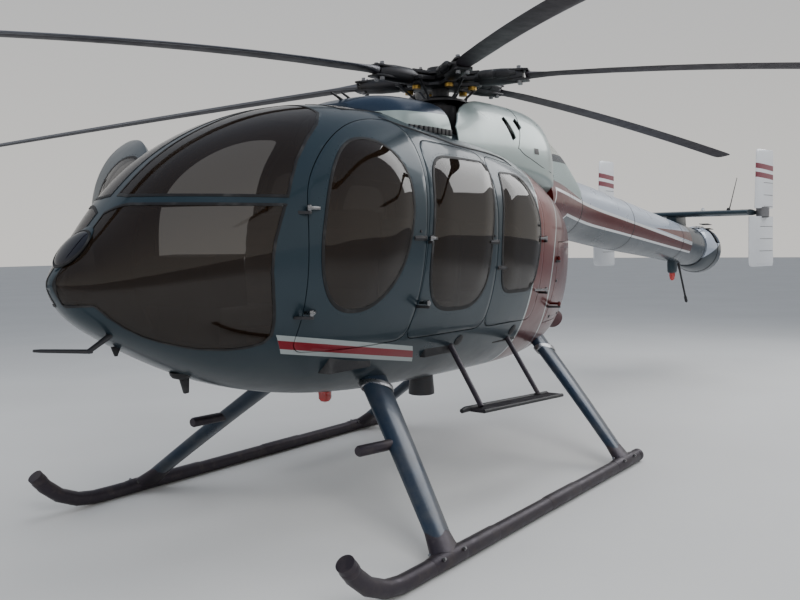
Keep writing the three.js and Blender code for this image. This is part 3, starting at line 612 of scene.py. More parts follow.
class PodChart:
    """Lays the pod's skin out flat: s runs back from the nose and t round the section, both in metres."""

    def __init__(self) -> None:
        """Fits the pod's rows with smooth curves."""
        rows = np.array(POD_ROWS)
        self.middle, self.reach = (rows[0, 0] + rows[-1, 0]) / 2, (rows[0, 0] - rows[-1, 0]) / 2
        turn = np.arccos(np.clip((rows[:, 0] - self.middle) / self.reach, -1, 1))
        self.curve = spline(turn, rows[:, 1:])
        angles = np.linspace(0, math.pi, 1500)
        xs = self.middle + self.reach * np.cos(angles)
        v = self.curve(angles)
        size = (v[:, 2] + (v[:, 0] - v[:, 1]) / 2) / 2
        self.xs = xs
        self.ss = np.concatenate([[0.0], np.cumsum(np.hypot(np.diff(xs), np.diff(size)))])
        self.length = float(self.ss[-1])

    def rows(self, x: Array) -> tuple[Array, ...]:
        """Gives top, bottom, half width and widest height at x."""
        v = self.curve(np.arccos(np.clip((x - self.middle) / self.reach, -1, 1)))
        return v[..., 0], v[..., 1], np.maximum(v[..., 2], 0), v[..., 3]

    def s_at(self, x: float | Array) -> Array:
        """Gives the distance back from the nose at x."""
        return np.interp(-np.asarray(x, float), -self.xs, self.ss)

    def flat(self, outline: Flat) -> Array:
        """Turns an outline drawn in X and Z on the left side into chart places."""
        q = np.array(outline, float)
        top, bottom, _, wide = self.rows(q[:, 0])
        above = q[:, 1] > wide
        share = np.clip((q[:, 1] - wide) / np.where(above, top - wide, wide - bottom), -1, 1)
        full = np.where(above, FULL_TOP, FULL_BOTTOM)
        out = (1 - np.abs(share) ** full) ** (1 / full)
        return np.stack([self.s_at(q[:, 0]), np.arctan2(share, out) * GIRTH], axis=1)

    def roof(self, outline: Flat) -> Array:
        """Turns an outline drawn in X and Y on the left of the roof into chart places."""
        q = np.array(outline, float)
        out = np.clip(q[:, 1] / self.rows(q[:, 0])[2], 0, 1)
        turn = np.arctan2((1 - out ** FULL_TOP) ** (1 / FULL_TOP), out)
        return np.stack([self.s_at(q[:, 0]), turn * GIRTH], axis=1)

    def skin(self, st: Array) -> Array:
        """Gives the places on the pod's skin for chart places."""
        x = np.interp(st[:, 0], self.ss, self.xs)
        top, bottom, half, wide = self.rows(x)
        angle = st[:, 1] / GIRTH
        c, s = np.cos(angle), np.sin(angle)
        full = np.where(s > 0, FULL_TOP, FULL_BOTTOM)
        reach = np.where(s > 0, top - wide, wide - bottom)
        r = (np.abs(c) ** full + np.abs(s) ** full) ** (-1 / full)
        return np.stack([x, r * c * half, wide + r * s * reach], axis=1)

    def place(self, st: Array, lift: Array | float = 0.0) -> Array:
        """Gives places on the skin, moved outwards by `lift`."""
        st = np.asarray(st, float).reshape(-1, 2)
        step = 2e-3
        s = np.clip(st[:, 0], step, self.length - step)

        def slope(ds: float, dt: float) -> Array:
            """Gives how the skin runs across each place."""
            ahead, behind = np.stack([s + ds, st[:, 1] + dt], 1), np.stack([s - ds, st[:, 1] - dt], 1)
            return self.skin(ahead) - self.skin(behind)

        normal = np.cross(slope(step, 0.0), slope(0.0, step))
        normal /= np.maximum(np.linalg.norm(normal, axis=1, keepdims=True), 1e-12)
        made = self.skin(st) + normal * (np.broadcast_to(np.asarray(lift, float), (len(st),))[:, None])
        made[np.abs(np.abs(st[:, 1]) - CENTRE_T) < 1e-7, 1] = 0.0
        return made

    def normal(self, st: Point) -> Vector:
        """Gives the outward normal at one chart place."""
        q = np.array([st, st], float)
        return Vector(self.place(q, 0.01)[0] - self.place(q, 0.0)[0]).normalized()

    def side(self, x: float, z: float) -> Vector:
        """Gives the place on the left side at x and a height."""
        return Vector(self.place(self.flat([(x, z)]))[0])

    def set_down(self, x: float, z: float) -> Matrix:
        """Returns the matrix that sets a piece down on the left side, its Z outwards."""
        return facing(self.side(x, z), self.normal(self.flat([(x, z)])[0]))

    def panel(self, name: str, outlines: Sequence[Array], holes: Sequence[Array],
              lift: float | Callable[[Array], Array], thickness: float, edge: float,
              both: bool = False) -> Object:
        """Cuts a panel out of the pod's skin.

        Args:
            name: the piece's name.
            outlines: chart outlines of the panel; several may stand apart.
            holes: chart outlines of what is cut out of it.
            lift: how far it stands out, or a call that gives it for chart places.
            thickness: the panel's thickness, inwards.
            edge: how far its edges are eased.
            both: whether the panel reaches the centreline and carries on on the other side.

        Returns:
            The new piece, with its inner faces in its second material.
        """
        loops = [resampled(o, EDGE_STEP) for o in (*outlines, *holes)]
        every = np.concatenate(loops)
        low, high = every.min(axis=0), every.max(axis=0)
        gs, gt = np.meshgrid(*(np.arange(low[i] + GRID / 2, high[i], GRID) for i in (0, 1)))
        grid = np.stack([gs.ravel(), gt.ravel()], axis=1)
        grid = grid[self.kept(grid, loops, len(outlines))]
        edges, first = [], 0
        for loop in loops:
            grid = grid[edge_distance(grid, loop) > EDGE_STEP * 0.55]
            edges.extend((first + i, first + (i + 1) % len(loop)) for i in range(len(loop)))
            first += len(loop)
        points = [Vector(p) for p in np.concatenate([every, grid])]
        flat, _, faces, *_ = delaunay_2d_cdt(points, edges, [], 0, 1e-6, False)
        flat = np.array([list(p) for p in flat])
        faces = np.array(faces)
        faces = faces[self.kept(flat[faces].mean(axis=1), loops, len(outlines))]
        used, index = np.unique(faces, return_inverse=True)
        flat, faces = flat[used], index.reshape(faces.shape)
        obj = meshed(name, self.place(flat, lift(flat) if callable(lift) else lift), faces[:, ::-1].tolist())
        edit(obj, weld(2e-4))
        if both:
            modify(obj, "MIRROR", use_axis=(False, True, False), merge_threshold=0.0006)
        self.point_out(obj)
        for _ in range(2):
            obj.data.materials.append(None)
        modify(obj, "SOLIDIFY", thickness=thickness, offset=-1.0, material_offset=1)
        return rounded(obj, edge, 2) if edge else obj

    @staticmethod
    def kept(places: Array, loops: Sequence[Array], outer: int) -> Array:
        """Tells which chart places lie on the panel: inside an outline and in no hole."""
        keep = np.zeros(len(places), bool)
        for loop in loops[:outer]:
            keep |= inside(places, loop)
        for loop in loops[outer:]:
            keep &= ~inside(places, loop)
        return keep

    @staticmethod
    def point_out(obj: Object) -> None:
        """Turns an open panel's faces away from the pod's middle."""
        total = sum((p.center - Vector((p.center.x * 0.9, 0.0, 1.5))).dot(p.normal) * p.area
                    for p in obj.data.polygons)
        if total < 0:
            obj.data.flip_normals()


POD = PodChart()


# --------------------------------------------------------------------------------------------------
# Finishes
# --------------------------------------------------------------------------------------------------

Color = Triple
Socket = bpy.types.NodeSocket
SHARP = 700.0  # how fast a painted edge changes, in parts for each metre
MIX_FACTOR, MIX_A, MIX_B, MIX_RESULT = 0, 6, 7, 2  # the Mix node's sockets for colours


def shade(color: Color, share: float, lift: float = 0.0) -> Color:
    """Gives a colour made darker or paler."""
    return tuple(min(1.0, c * share + lift) for c in color)


class Graph:
    """Builds one material's nodes round a Principled shader."""

    def __init__(self, name: str) -> None:
        """Starts a material with its shader and its Object coordinates."""
        self.material = bpy.data.materials.new(name)
        self.material.use_nodes = True
        self.tree = self.material.node_tree
        self.shader = self.tree.nodes["Principled BSDF"]
        self.place = self.add("TexCoord").outputs["Object"]
        x, self.y, self.z = self.split(self.place)
        self.x = self.math("SUBTRACT", x, MAST_X)

    def add(self, kind: str) -> bpy.types.Node:
        """Adds a node."""
        return self.tree.nodes.new(f"ShaderNode{kind}")

    def split(self, place: Socket) -> tuple[Socket, ...]:
        """Splits a place into its three axes."""
        node = self.add("SeparateXYZ")
        self.feed(node.inputs[0], place)
        return tuple(node.outputs)

    def feed(self, socket: Socket, value: object) -> None:
        """Links a socket, or sets its constant."""
        if isinstance(value, Socket):
            self.tree.links.new(value, socket)
        elif isinstance(value, tuple) and len(value) == 3 and socket.type == "RGBA":
            socket.default_value = (*value, 1.0)
        else:
            socket.default_value = value

    def math(self, operation: str, *values: object, clamp: bool = False) -> Socket:
        """Adds a Math node and returns its result."""
        node = self.add("Math")
        node.operation = operation
        node.use_clamp = clamp
        for socket, value in zip(node.inputs, values):
            self.feed(socket, value)
        return node.outputs[0]

    def turn_back(self, x: float, y: float, degrees: float) -> None:
        """Turns the drawing's X and Y back about an upright hinge, to where a door is closed."""
        c, s = math.cos(math.radians(degrees)), math.sin(math.radians(degrees))
        dx, dy = self.math("SUBTRACT", self.x, x), self.math("SUBTRACT", self.y, y)
        self.x = self.math("MULTIPLY_ADD", dx, c, self.math("MULTIPLY_ADD", dy, s, x))
        self.y = self.math("MULTIPLY_ADD", dx, -s, self.math("MULTIPLY_ADD", dy, c, y))

    def line(self, slope: float, start: float, along: Socket) -> Socket:
        """Returns start + slope * along."""
        return self.math("MULTIPLY_ADD", along, slope, start)

    def apart(self, a: object, b: object) -> Socket:
        """Returns how far two values lie apart."""
        return self.math("ABSOLUTE", self.math("SUBTRACT", a, b))

    def over(self, a: object, b: object, sharp: float = SHARP) -> Socket:
        """Returns 1 where a is above b and 0 where it is below, with a fine soft edge."""
        return self.math("MULTIPLY_ADD", self.math("SUBTRACT", a, b), sharp, 0.5, clamp=True)

    def both(self, *masks: Socket) -> Socket:
        """Returns 1 where every mask is 1."""
        made = masks[0]
        for mask in masks[1:]:
            made = self.math("MULTIPLY", made, mask)
        return made

    def mix(self, share: object, a: object, b: object) -> Socket:
        """Mixes two colours."""
        node = self.add("Mix")
        node.data_type = "RGBA"
        for index, value in ((MIX_FACTOR, share), (MIX_A, a), (MIX_B, b)):
            self.feed(node.inputs[index], value)
        return node.outputs[MIX_RESULT]

    def noise(self, scale: float, detail: float = 3.0, roughness: float = 0.5,
              stretch: Color | None = None) -> Socket:
        """Adds noise on Object coordinates and returns its value."""
        node = self.add("TexNoise")
        place = self.place
        if stretch:
            mapping = self.add("Mapping")
            self.feed(mapping.inputs["Scale"], stretch)
            self.feed(mapping.inputs[0], place)
            place = mapping.outputs[0]
        for key, value in (("Scale", scale), ("Detail", detail), ("Roughness", roughness), ("Vector", place)):
            self.feed(node.inputs[key], value)
        return node.outputs["Fac"]

    def span(self, value: object, a: float, b: float, low: float, high: float) -> Socket:
        """Maps a value from one range to another, held at the ends."""
        node = self.add("MapRange")
        for socket, number in zip(node.inputs, (value, a, b, low, high)):
            self.feed(socket, number)
        return node.outputs[0]

    def bump(self, height: Socket, strength: float, distance: float) -> None:
        """Gives the shader fine relief."""
        node = self.add("Bump")
        for key, value in (("Strength", strength), ("Distance", distance), ("Height", height)):
            self.feed(node.inputs[key], value)
        self.feed(self.shader.inputs["Normal"], node.outputs[0])

    def set(self, **values: object) -> None:
        """Sets or links the shader's sockets by name, with _ for a space."""
        for key, value in values.items():
            self.feed(self.shader.inputs[key.replace("_", " ")], value)


class Finish:
    """A finish that makes its material once."""

    made: dict[str, bpy.types.Material] = {}

    def material(self) -> bpy.types.Material:
        """Returns the finish's material, made at the first call."""
        key = repr(self)
        if key not in Finish.made:
            graph = Graph(self.name)
            self.paint(graph)
            Finish.made[key] = graph.material
        return Finish.made[key]

    def paint(self, g: Graph) -> None:
        """Builds the nodes."""
        raise NotImplementedError


class Scheme(Enum):
    """Which painted pattern lies on a surface."""

    PLAIN = "plain"
    POD = "pod"
    BOOM = "boom"
    FIN = "fin"
    FAIRING = "fairing"
    CAN = "can"


NAVY: Color = (0.018, 0.032, 0.058)
TEAL: Color = (0.019, 0.034, 0.045)
SILVER: Color = (0.40, 0.45, 0.53)
SAGE: Color = (0.30, 0.36, 0.35)
MAROON: Color = (0.088, 0.009, 0.008)
BRICK: Color = (0.120, 0.010, 0.008)
CRIMSON: Color = (0.20, 0.006, 0.016)
WHITE: Color = (0.66, 0.68, 0.70)
PEARL: Color = (0.36, 0.40, 0.40)
# the red band's darker, browner colour low down: painted shade
BRICK_IN_PAINTED_SHADE: Color = (0.085, 0.016, 0.016)
PLUM: Color = (0.16, 0.035, 0.05)
DUST: Color = (0.16, 0.145, 0.12)
WORN_METAL: Color = (0.24, 0.24, 0.26)
WIRE_GREY: Color = (0.05, 0.055, 0.06)


@dataclass(frozen=True)
class Paint(Finish):
    """Metallic or plain lacquer with fine flake, slight unevenness and dust low down."""

    name: str
    color: Color
    scheme: Scheme = Scheme.PLAIN
    roughness: float = 0.32
    metallic: float = 0.35
    coat: float = 0.35
    dust: float = 0.15
    hinge: Triple = (0.0, 0.0, 0.0)  # x, y and the degrees by which a painted door is open

    def pattern(self, g: Graph, base: Socket) -> Socket:
        """Lays the painted pattern over the base colour."""
        patterns = {Scheme.POD: self.pod, Scheme.BOOM: self.boom, Scheme.FIN: self.fin, Scheme.CAN: self.can,
                    Scheme.FAIRING: self.fairing}
        return patterns[self.scheme](g, base) if self.scheme in patterns else base

    @staticmethod
    def can(g: Graph, base: Socket) -> Socket:
        """Lays a painted highlight in silver over the can's upper part."""
        return g.mix(g.over(g.z, g.line(-0.42, -0.90, g.x), 90.0), base, SILVER)

    @staticmethod
    def pod(g: Graph, base: Socket) -> Socket:
        """Lays the pod's low stripe, the maroon behind its two pale bowed lines, and the red between them with
        painted shade low down.
        """
        inner = g.math("ABSOLUTE", g.y)
        drop = g.math("SUBTRACT", g.z, g.line(0.152, 0.819, g.x))  # from the top of the low stripe
        front = g.over(g.line(0.8, 2.19, drop), g.x)
        back = g.over(g.x, g.line(1.1, 1.12, drop))
        ends = g.both(front, back, g.over(inner, 0.25))
        grey = g.both(ends, g.over(0.0, drop), g.over(drop, -0.093))
        red = g.both(ends, g.over(-0.027, drop), g.over(drop, -0.069))
        color = g.mix(red, g.mix(grey, base, PEARL), CRIMSON)
        low = g.math("SUBTRACT", g.z, 1.36)
        bow = g.math("MULTIPLY", low, low)
        edge_a, edge_b = g.line(-0.20, -0.168, bow), g.line(-0.58, -0.53, bow)
        # the red between the bowed lines darkens towards the bottom: painted shade
        between = g.mix(g.span(g.z, 1.0, 1.7, 0.0, 1.0), BRICK_IN_PAINTED_SHADE, BRICK)
        color = g.mix(g.over(edge_a, g.x), color, between)
        color = g.mix(g.over(edge_b, g.x), color, MAROON)
        for edge in (edge_a, edge_b):
            color = g.mix(g.over(0.011, g.apart(g.x, edge)), color, PEARL)
        return color

    @staticmethod
    def boom(g: Graph, base: Socket) -> Socket:
        """Lays the boom's silver back, maroon band between two white lines, and dark belly."""

        def bent(slope: float, start: float, knee: float, fall: float) -> Socket:
            """Gives a line's height, which falls off ahead of a knee."""
            past = g.math("MAXIMUM", g.math("ADD", g.x, knee), 0.0)
            return g.math("ADD", g.line(slope, start, g.x), g.math("MULTIPLY", past, fall))

        first, second = bent(0.119, 2.1387, 1.02, -1.6), bent(0.100, 1.9512, 1.33, -0.7)
        neck = g.over(g.x, -1.70)
        panel = g.line(0.079, 2.2013, g.x)  # the top edge of the maroon panel ahead of the first ring joint
        upper = g.mix(neck, SILVER, g.mix(g.over(g.z, panel), MAROON, SAGE))
        rim = g.math("MAXIMUM", g.both(g.over(g.x, -1.712), g.over(-1.690, g.x), g.over(panel, g.z)),
                     g.both(neck, g.over(0.011, g.apart(g.z, panel))))
        color = g.mix(g.over(g.z, first), MAROON, g.mix(rim, upper, WHITE))
        color = g.mix(g.over(second, g.z), color, base)
        wedge = g.both(g.over(g.z, g.line(0.119, 2.168, g.x)), g.over(g.line(0.03, 1.845, g.x), g.z),
                       g.over(-3.3, g.x))
        color = g.mix(wedge, color, MAROON)
        for edge, half in ((first, 0.013), (second, 0.010)):
            color = g.mix(g.over(half, g.apart(g.z, edge)), color, WHITE)
        return g.mix(g.over(-4.93, g.x), color, base)

    @staticmethod
    def fin(g: Graph, base: Socket) -> Socket:
        """Lays two maroon stripes near each fin's top."""
        for start in (2.635, 2.735):
            base = g.mix(g.over(0.030, g.apart(g.z, g.line(0.06, start, g.x))), base, PLUM)
        return base

    @staticmethod
    def fairing(g: Graph, base: Socket) -> Socket:
        """Darkens the front cover's top."""
        top = g.math("MAXIMUM", g.over(g.z, g.line(-0.042, 2.4286, g.x)), g.over(g.x, 1.17))
        return g.mix(g.both(top, g.over(g.x, 0.56)), base, NAVY)

    def paint(self, g: Graph) -> None:
        """Builds the lacquer."""
        if self.hinge[2]:
            g.turn_back(*self.hinge)
        cloud = g.span(g.noise(1.3, 4.0), 0.35, 0.65, 0.0, 0.35)
        flake = g.span(g.noise(900.0, 1.0), 0.62, 0.78, 0.0, 0.10)
        color = self.pattern(g, g.mix(cloud, self.color, shade(self.color, 0.72)))
        color = g.mix(flake, color, shade(self.color, 2.2, 0.02))
        film = g.both(g.span(g.z, 0.35, 1.25, self.dust, 0.0), g.span(g.noise(7.0, 6.0, 0.62), 0.42, 0.75, 0.0, 1.0))
        uneven = g.span(g.noise(5.0, 5.0, 0.6), 0.3, 0.8, self.roughness - 0.05, self.roughness + 0.08)
        g.set(Base_Color=g.mix(film, color, DUST),
              Roughness=g.math("ADD", uneven, g.math("MULTIPLY", film, 0.5)), Metallic=self.metallic,
              Coat_Weight=self.coat, Coat_Roughness=0.06, Coat_IOR=1.38, Specular_IOR_Level=0.3)
        g.bump(g.noise(240.0, 2.0), 0.02, 0.001)


@dataclass(frozen=True)
class Metal(Finish):
    """Bare or blackened metal, with brushing, stains and bright or dull patches."""

    name: str
    color: Color
    roughness: float = 0.35
    metallic: float = 1.0
    stain: Color = (0.10, 0.08, 0.06)
    wear: float = 0.35
    grain: Color = (30.0, 30.0, 220.0)

    def paint(self, g: Graph) -> None:
        """Builds the metal."""
        streak = g.noise(1.0, 3.0, 0.6, self.grain)
        patch = g.noise(14.0, 6.0, 0.65)
        color = g.mix(g.span(streak, 0.3, 0.7, 0.0, 0.4), self.color, shade(self.color, 0.7))
        g.set(Base_Color=g.mix(g.span(patch, 0.5, 0.78, 0.0, self.wear), color, self.stain),
              Metallic=self.metallic,
              Roughness=g.span(patch, 0.3, 0.75, self.roughness - 0.08, self.roughness + 0.18))
        g.bump(streak, 0.06, 0.001)


@dataclass(frozen=True)
class Plastic(Finish):
    """Rubber, moulded plastic or grit, with a fine grain."""

    name: str
    color: Color
    roughness: float = 0.55
    grain: float = 600.0
    relief: float = 0.25
    worn: Color = (0.12, 0.12, 0.12)

    def paint(self, g: Graph) -> None:
        """Builds the plastic."""
        patch = g.noise(9.0, 6.0, 0.6)
        g.set(Base_Color=g.mix(g.span(patch, 0.5, 0.85, 0.0, 0.5), self.color, self.worn),
              Roughness=g.span(patch, 0.3, 0.8, self.roughness - 0.08, self.roughness + 0.12),
              Specular_IOR_Level=0.25)
        g.bump(g.noise(self.grain, 2.0), self.relief, 0.001)


@dataclass(frozen=True)
class Glass(Finish):
    """Tinted window glass that shows the cabin dimly, with faint smears."""

    name: str
    color: Color = (0.012, 0.007, 0.004)
    alpha: float = 0.72

    def paint(self, g: Graph) -> None:
        """Builds the glass."""
        smear = g.noise(3.0, 5.0, 0.6)
        g.set(Base_Color=g.mix(g.span(smear, 0.4, 0.8, 0.0, 0.25), self.color, shade(self.color, 1.6)),
              Roughness=g.span(smear, 0.4, 0.8, 0.01, 0.035), Alpha=self.alpha, IOR=1.5, Specular_IOR_Level=0.5)


@dataclass(frozen=True)
class Lens(Finish):
    """A coloured lamp glass with fine ribs."""

    name: str
    color: Color

    def paint(self, g: Graph) -> None:
        """Builds the lamp glass."""
        cloud = g.span(g.noise(30.0), 0.3, 0.7, 0.0, 0.4)
        g.set(Base_Color=g.mix(cloud, self.color, shade(self.color, 0.5)), Roughness=0.12, Coat_Weight=1.0,
              Emission_Color=self.color, Emission_Strength=0.0)
        g.bump(g.noise(1.0, 1.0, 0.5, (20.0, 20.0, 500.0)), 0.3, 0.001)


@dataclass(frozen=True)
class Leather(Finish):
    """Seat leather with pores and creases."""

    name: str
    color: Color

    def paint(self, g: Graph) -> None:
        """Builds the leather."""
        cells = g.add("TexVoronoi")
        g.feed(cells.inputs["Scale"], 260.0)
        g.feed(cells.inputs["Vector"], g.place)
        crease = g.noise(18.0, 5.0, 0.6)
        g.set(Base_Color=g.mix(g.span(crease, 0.45, 0.8, 0.0, 0.6), self.color, shade(self.color, 0.55)),
              Roughness=g.span(crease, 0.3, 0.8, 0.42, 0.62), Sheen_Weight=0.15)
        g.bump(g.math("ADD", cells.outputs["Distance"], crease), 0.35, 0.002)


@dataclass(frozen=True)
class WireMesh(Finish):
    """A fine woven wire screen drawn with the piece's own UV map."""

    name: str
    color: Color
    count: Pair = (150.0, 60.0)  # wires along U and V

    def paint(self, g: Graph) -> None:
        """Builds the woven screen, painted over below its upper part."""
        uv = g.split(g.add("TexCoord").outputs["UV"])
        wires = [g.math("ABSOLUTE", g.math("SINE", g.math("MULTIPLY", axis, count * math.pi)))
                 for axis, count in zip(uv, self.count)]
        thread = g.math("MINIMUM", *wires)
        woven = g.mix(g.over(thread, 0.45, 6.0), self.color, shade(self.color, 0.35))
        woven = g.mix(g.over(2.310, g.z), woven, WIRE_GREY)
        g.set(Base_Color=g.mix(g.over(2.245, g.z), woven, SAGE), Metallic=0.25,
              Roughness=g.span(thread, 0.0, 1.0, 0.35, 0.7))
        g.bump(g.math("SUBTRACT", 1.0, thread), 0.6, 0.003)


@dataclass(frozen=True)
class BladePaint(Finish):
    """Blade paint with a worn metal strip on the leading edge, by the blade's own UV map."""

    name: str
    color: Color

    def paint(self, g: Graph) -> None:
        """Builds the blade's paint."""
        uv = g.split(g.add("TexCoord").outputs["UV"])
        ragged = g.math("MULTIPLY_ADD", g.noise(40.0, 4.0), 0.02, 0.085)
        edge = g.over(ragged, g.apart(uv[0], 0.5), 400.0)
        patch = g.noise(12.0, 6.0, 0.6)
        body = g.mix(g.span(patch, 0.4, 0.8, 0.0, 0.5), self.color, shade(self.color, 0.6))
        g.set(Base_Color=g.mix(edge, body, WORN_METAL), Metallic=g.math("MULTIPLY_ADD", edge, 0.8, 0.1),
              Roughness=g.span(patch, 0.3, 0.8, 0.42, 0.60), Specular_IOR_Level=0.3)
        g.bump(g.noise(180.0, 3.0), 0.05, 0.001)


BODY = Paint("body_paint", TEAL, Scheme.POD)
OPEN_DOOR = (2.082, -0.628, 72.0)  # the right front door's hinge and its angle at rest
BODY_OPEN = Paint("body_paint_open_door", TEAL, Scheme.POD, hinge=OPEN_DOOR)
BODY_PLAIN = Paint("body_paint_plain", TEAL)
COVER = Paint("fairing_paint", SAGE, Scheme.FAIRING)
COVER_PLAIN = Paint("fairing_paint_plain", SAGE)
BOOM_PAINT = Paint("boom_paint", (0.040, 0.056, 0.072), Scheme.BOOM, roughness=0.30)
# the can's paint carries a painted highlight in silver over its upper part
CAN_PAINT_WITH_HIGHLIGHT = Paint("can_paint", (0.045, 0.058, 0.070), Scheme.CAN)
GEAR = Paint("gear_paint", (0.020, 0.034, 0.058), roughness=0.30, dust=0.3)
SKID = Metal("skid_paint", (0.040, 0.033, 0.042), 0.42, 0.6, (0.12, 0.10, 0.09), 0.5)
FIN_PAINT = Paint("fin_paint", (0.62, 0.64, 0.67), Scheme.FIN, metallic=0.15, roughness=0.36)
BLADE_PAINT = BladePaint("blade_paint", (0.034, 0.029, 0.036))
GLASS = Glass("tinted_glass")
SEAL = Plastic("rubber_seal", (0.012, 0.012, 0.013), 0.55)
TRIM = Plastic("cabin_lining", (0.045, 0.043, 0.042), 0.85, 900.0, 0.1)
CARPET = Plastic("cabin_carpet", (0.030, 0.030, 0.033), 0.95, 900.0, 0.3)
BLACK = Plastic("black_fitting", (0.016, 0.016, 0.018), 0.45)
GRIP = Plastic("step_black", (0.022, 0.020, 0.024), 0.8, 420.0, 0.9)
CHROME = Metal("polished_metal", (0.30, 0.30, 0.31), 0.28, wear=0.2)
DARK = Metal("dark_metal", (0.055, 0.055, 0.060), 0.42, 0.8)
GOLD = Metal("gold_anodised", (0.48, 0.30, 0.07), 0.32, 0.9)
HOT = Metal("heated_metal", (0.30, 0.25, 0.22), 0.38, 0.9, (0.16, 0.07, 0.04), 0.7)
HUB_GREY = Metal("hub_grey", (0.20, 0.20, 0.21), 0.45, 0.5)
RED_CAP = Plastic("cover_red", (0.22, 0.012, 0.016), 0.45, 300.0, 0.2, (0.10, 0.01, 0.01))
SLEEVE = Metal("exhaust_sleeve", (0.060, 0.012, 0.018), 0.40, 0.3, (0.03, 0.01, 0.01), 0.5)
RED_LAMP = Lens("red_lamp", (0.42, 0.012, 0.010))
CLEAR_LAMP = Lens("clear_lamp", (0.55, 0.57, 0.60))
DARK_LENS = Glass("dark_lens", (0.008, 0.008, 0.012), 0.96)
HIDE = Leather("seat_leather", (0.19, 0.165, 0.135))
SCREEN_WIRE = WireMesh("wire_mesh", (0.66, 0.67, 0.60))


# --------------------------------------------------------------------------------------------------
# Studio
# --------------------------------------------------------------------------------------------------


@dataclass
class Studio:
    """The pale floor, the soft lights and the camera at the photograph's place."""

    eye: Triple = (5.1187, 3.4482, 1.5799)
    yaw: float = -2.498264
    pitch: float = -0.064112
    roll: float = -0.013713
    focal_px: float = 843.76
    width_px: float = 800.0
    sensor: float = 36.0
    lights: tuple[tuple[str, Triple, Triple, float, float], ...] = (
        # name, place, target, size and power
        ("key", (5.5, 6.5, 6.5), (0.5, 0.0, 1.2), 5.0, 480.0),
        ("fill", (6.5, -5.5, 4.0), (0.5, 0.0, 1.2), 6.0, 180.0),
        ("back", (-6.5, 2.5, 6.0), (-1.5, 0.0, 1.4), 5.0, 340.0),
        ("top", (0.0, 0.0, 8.5), (0.0, 0.0, 1.0), 7.0, 260.0),
    )

    def floor(self) -> None:
        """Lays the wide pale floor."""
        clear()
        bpy.ops.mesh.primitive_plane_add(size=160, location=(0, 0, -0.001))
        floor = fresh("studio_floor")
        graph = Graph("studio_floor")
        tone = graph.span(graph.noise(0.6, 3.0), 0.3, 0.7, 0.0, 1.0)
        graph.set(Base_Color=graph.mix(tone, (0.60, 0.60, 0.59), (0.64, 0.64, 0.63)), Roughness=0.75)
        floor.data.materials.append(graph.material)

    def lamps(self) -> None:
        """Hangs the soft lights and sets the sky's tone."""
        for name, place, target, size, power in self.lights:
            data = bpy.data.lights.new(name, "AREA")
            data.energy, data.size = power, size
            lamp = bpy.data.objects.new(name, data)
            bpy.context.scene.collection.objects.link(lamp)
            lamp.location = Vector(place) + TO_ROW
            lamp.visible_glossy = name == "back"  # the others would show as hard white squares in the glass
            lamp.rotation_euler = (Vector(target) - Vector(place)).to_track_quat("-Z", "Y").to_euler()
        world = bpy.data.worlds.new("studio_sky")
        world.use_nodes = True
        nodes, links = world.node_tree.nodes, world.node_tree.links
        background = nodes["Background"]
        axes, ramp = nodes.new("ShaderNodeSeparateXYZ"), nodes.new("ShaderNodeValToRGB")
        links.new(nodes.new("ShaderNodeTexCoord").outputs["Generated"], axes.inputs[0])
        links.new(axes.outputs[2], ramp.inputs[0])
        ramp.color_ramp.elements[0].color = (0.98, 0.95, 0.90, 1.0)
        ramp.color_ramp.elements[1].color = (0.34, 0.40, 0.50, 1.0)
        ramp.color_ramp.elements[1].position = 0.85
        links.new(ramp.outputs["Color"], background.inputs["Color"])
        background.inputs["Strength"].default_value = 0.85
        bpy.context.scene.world = world

    def camera(self) -> None:
        """Sets the camera up at the photograph's place."""
        ahead = Vector((math.cos(self.yaw) * math.cos(self.pitch), math.sin(self.yaw) * math.cos(self.pitch),
                        math.sin(self.pitch)))
        right = ahead.cross(UP).normalized()
        up = right.cross(ahead)
        c, s = math.cos(self.roll), math.sin(self.roll)
        side, top = right * c + up * s, up * c - right * s
        data = bpy.data.cameras.new("photo_camera")
        data.sensor_width = self.sensor
        data.lens = self.focal_px * self.sensor / self.width_px
        data.clip_end = 300.0
        camera = bpy.data.objects.new("photo_camera", data)
        bpy.context.scene.collection.objects.link(camera)
        matrix = Matrix((side, top, -ahead)).transposed().to_4x4()
        matrix.translation = Vector(self.eye) + TO_ROW
        camera.matrix_world = matrix
        bpy.context.scene.camera = camera

    def build(self) -> None:
        """Builds the whole studio."""
        self.floor()
        self.lamps()
        self.camera()


# --------------------------------------------------------------------------------------------------
# Cabin
# --------------------------------------------------------------------------------------------------

SEAM = 0.0055  # from a door's edge to the skin's opening
SEAM_HALF = 0.003  # half the gap between two doors
SEAM_MID_AFT = 0.410
DOOR_LOW = 1.045
WALL = 0.030
FLOOR_Z = 0.900
EXHAUST = ((-1.150, 0.0, 1.235), (-1.790, 0.0, 0.905))
OUTLET_RADIUS = 0.104


def seam_x(z: float) -> float:
    """Gives where the front and middle doors meet at a height."""
    return 1.235 - 0.11 * (z - 1.150)


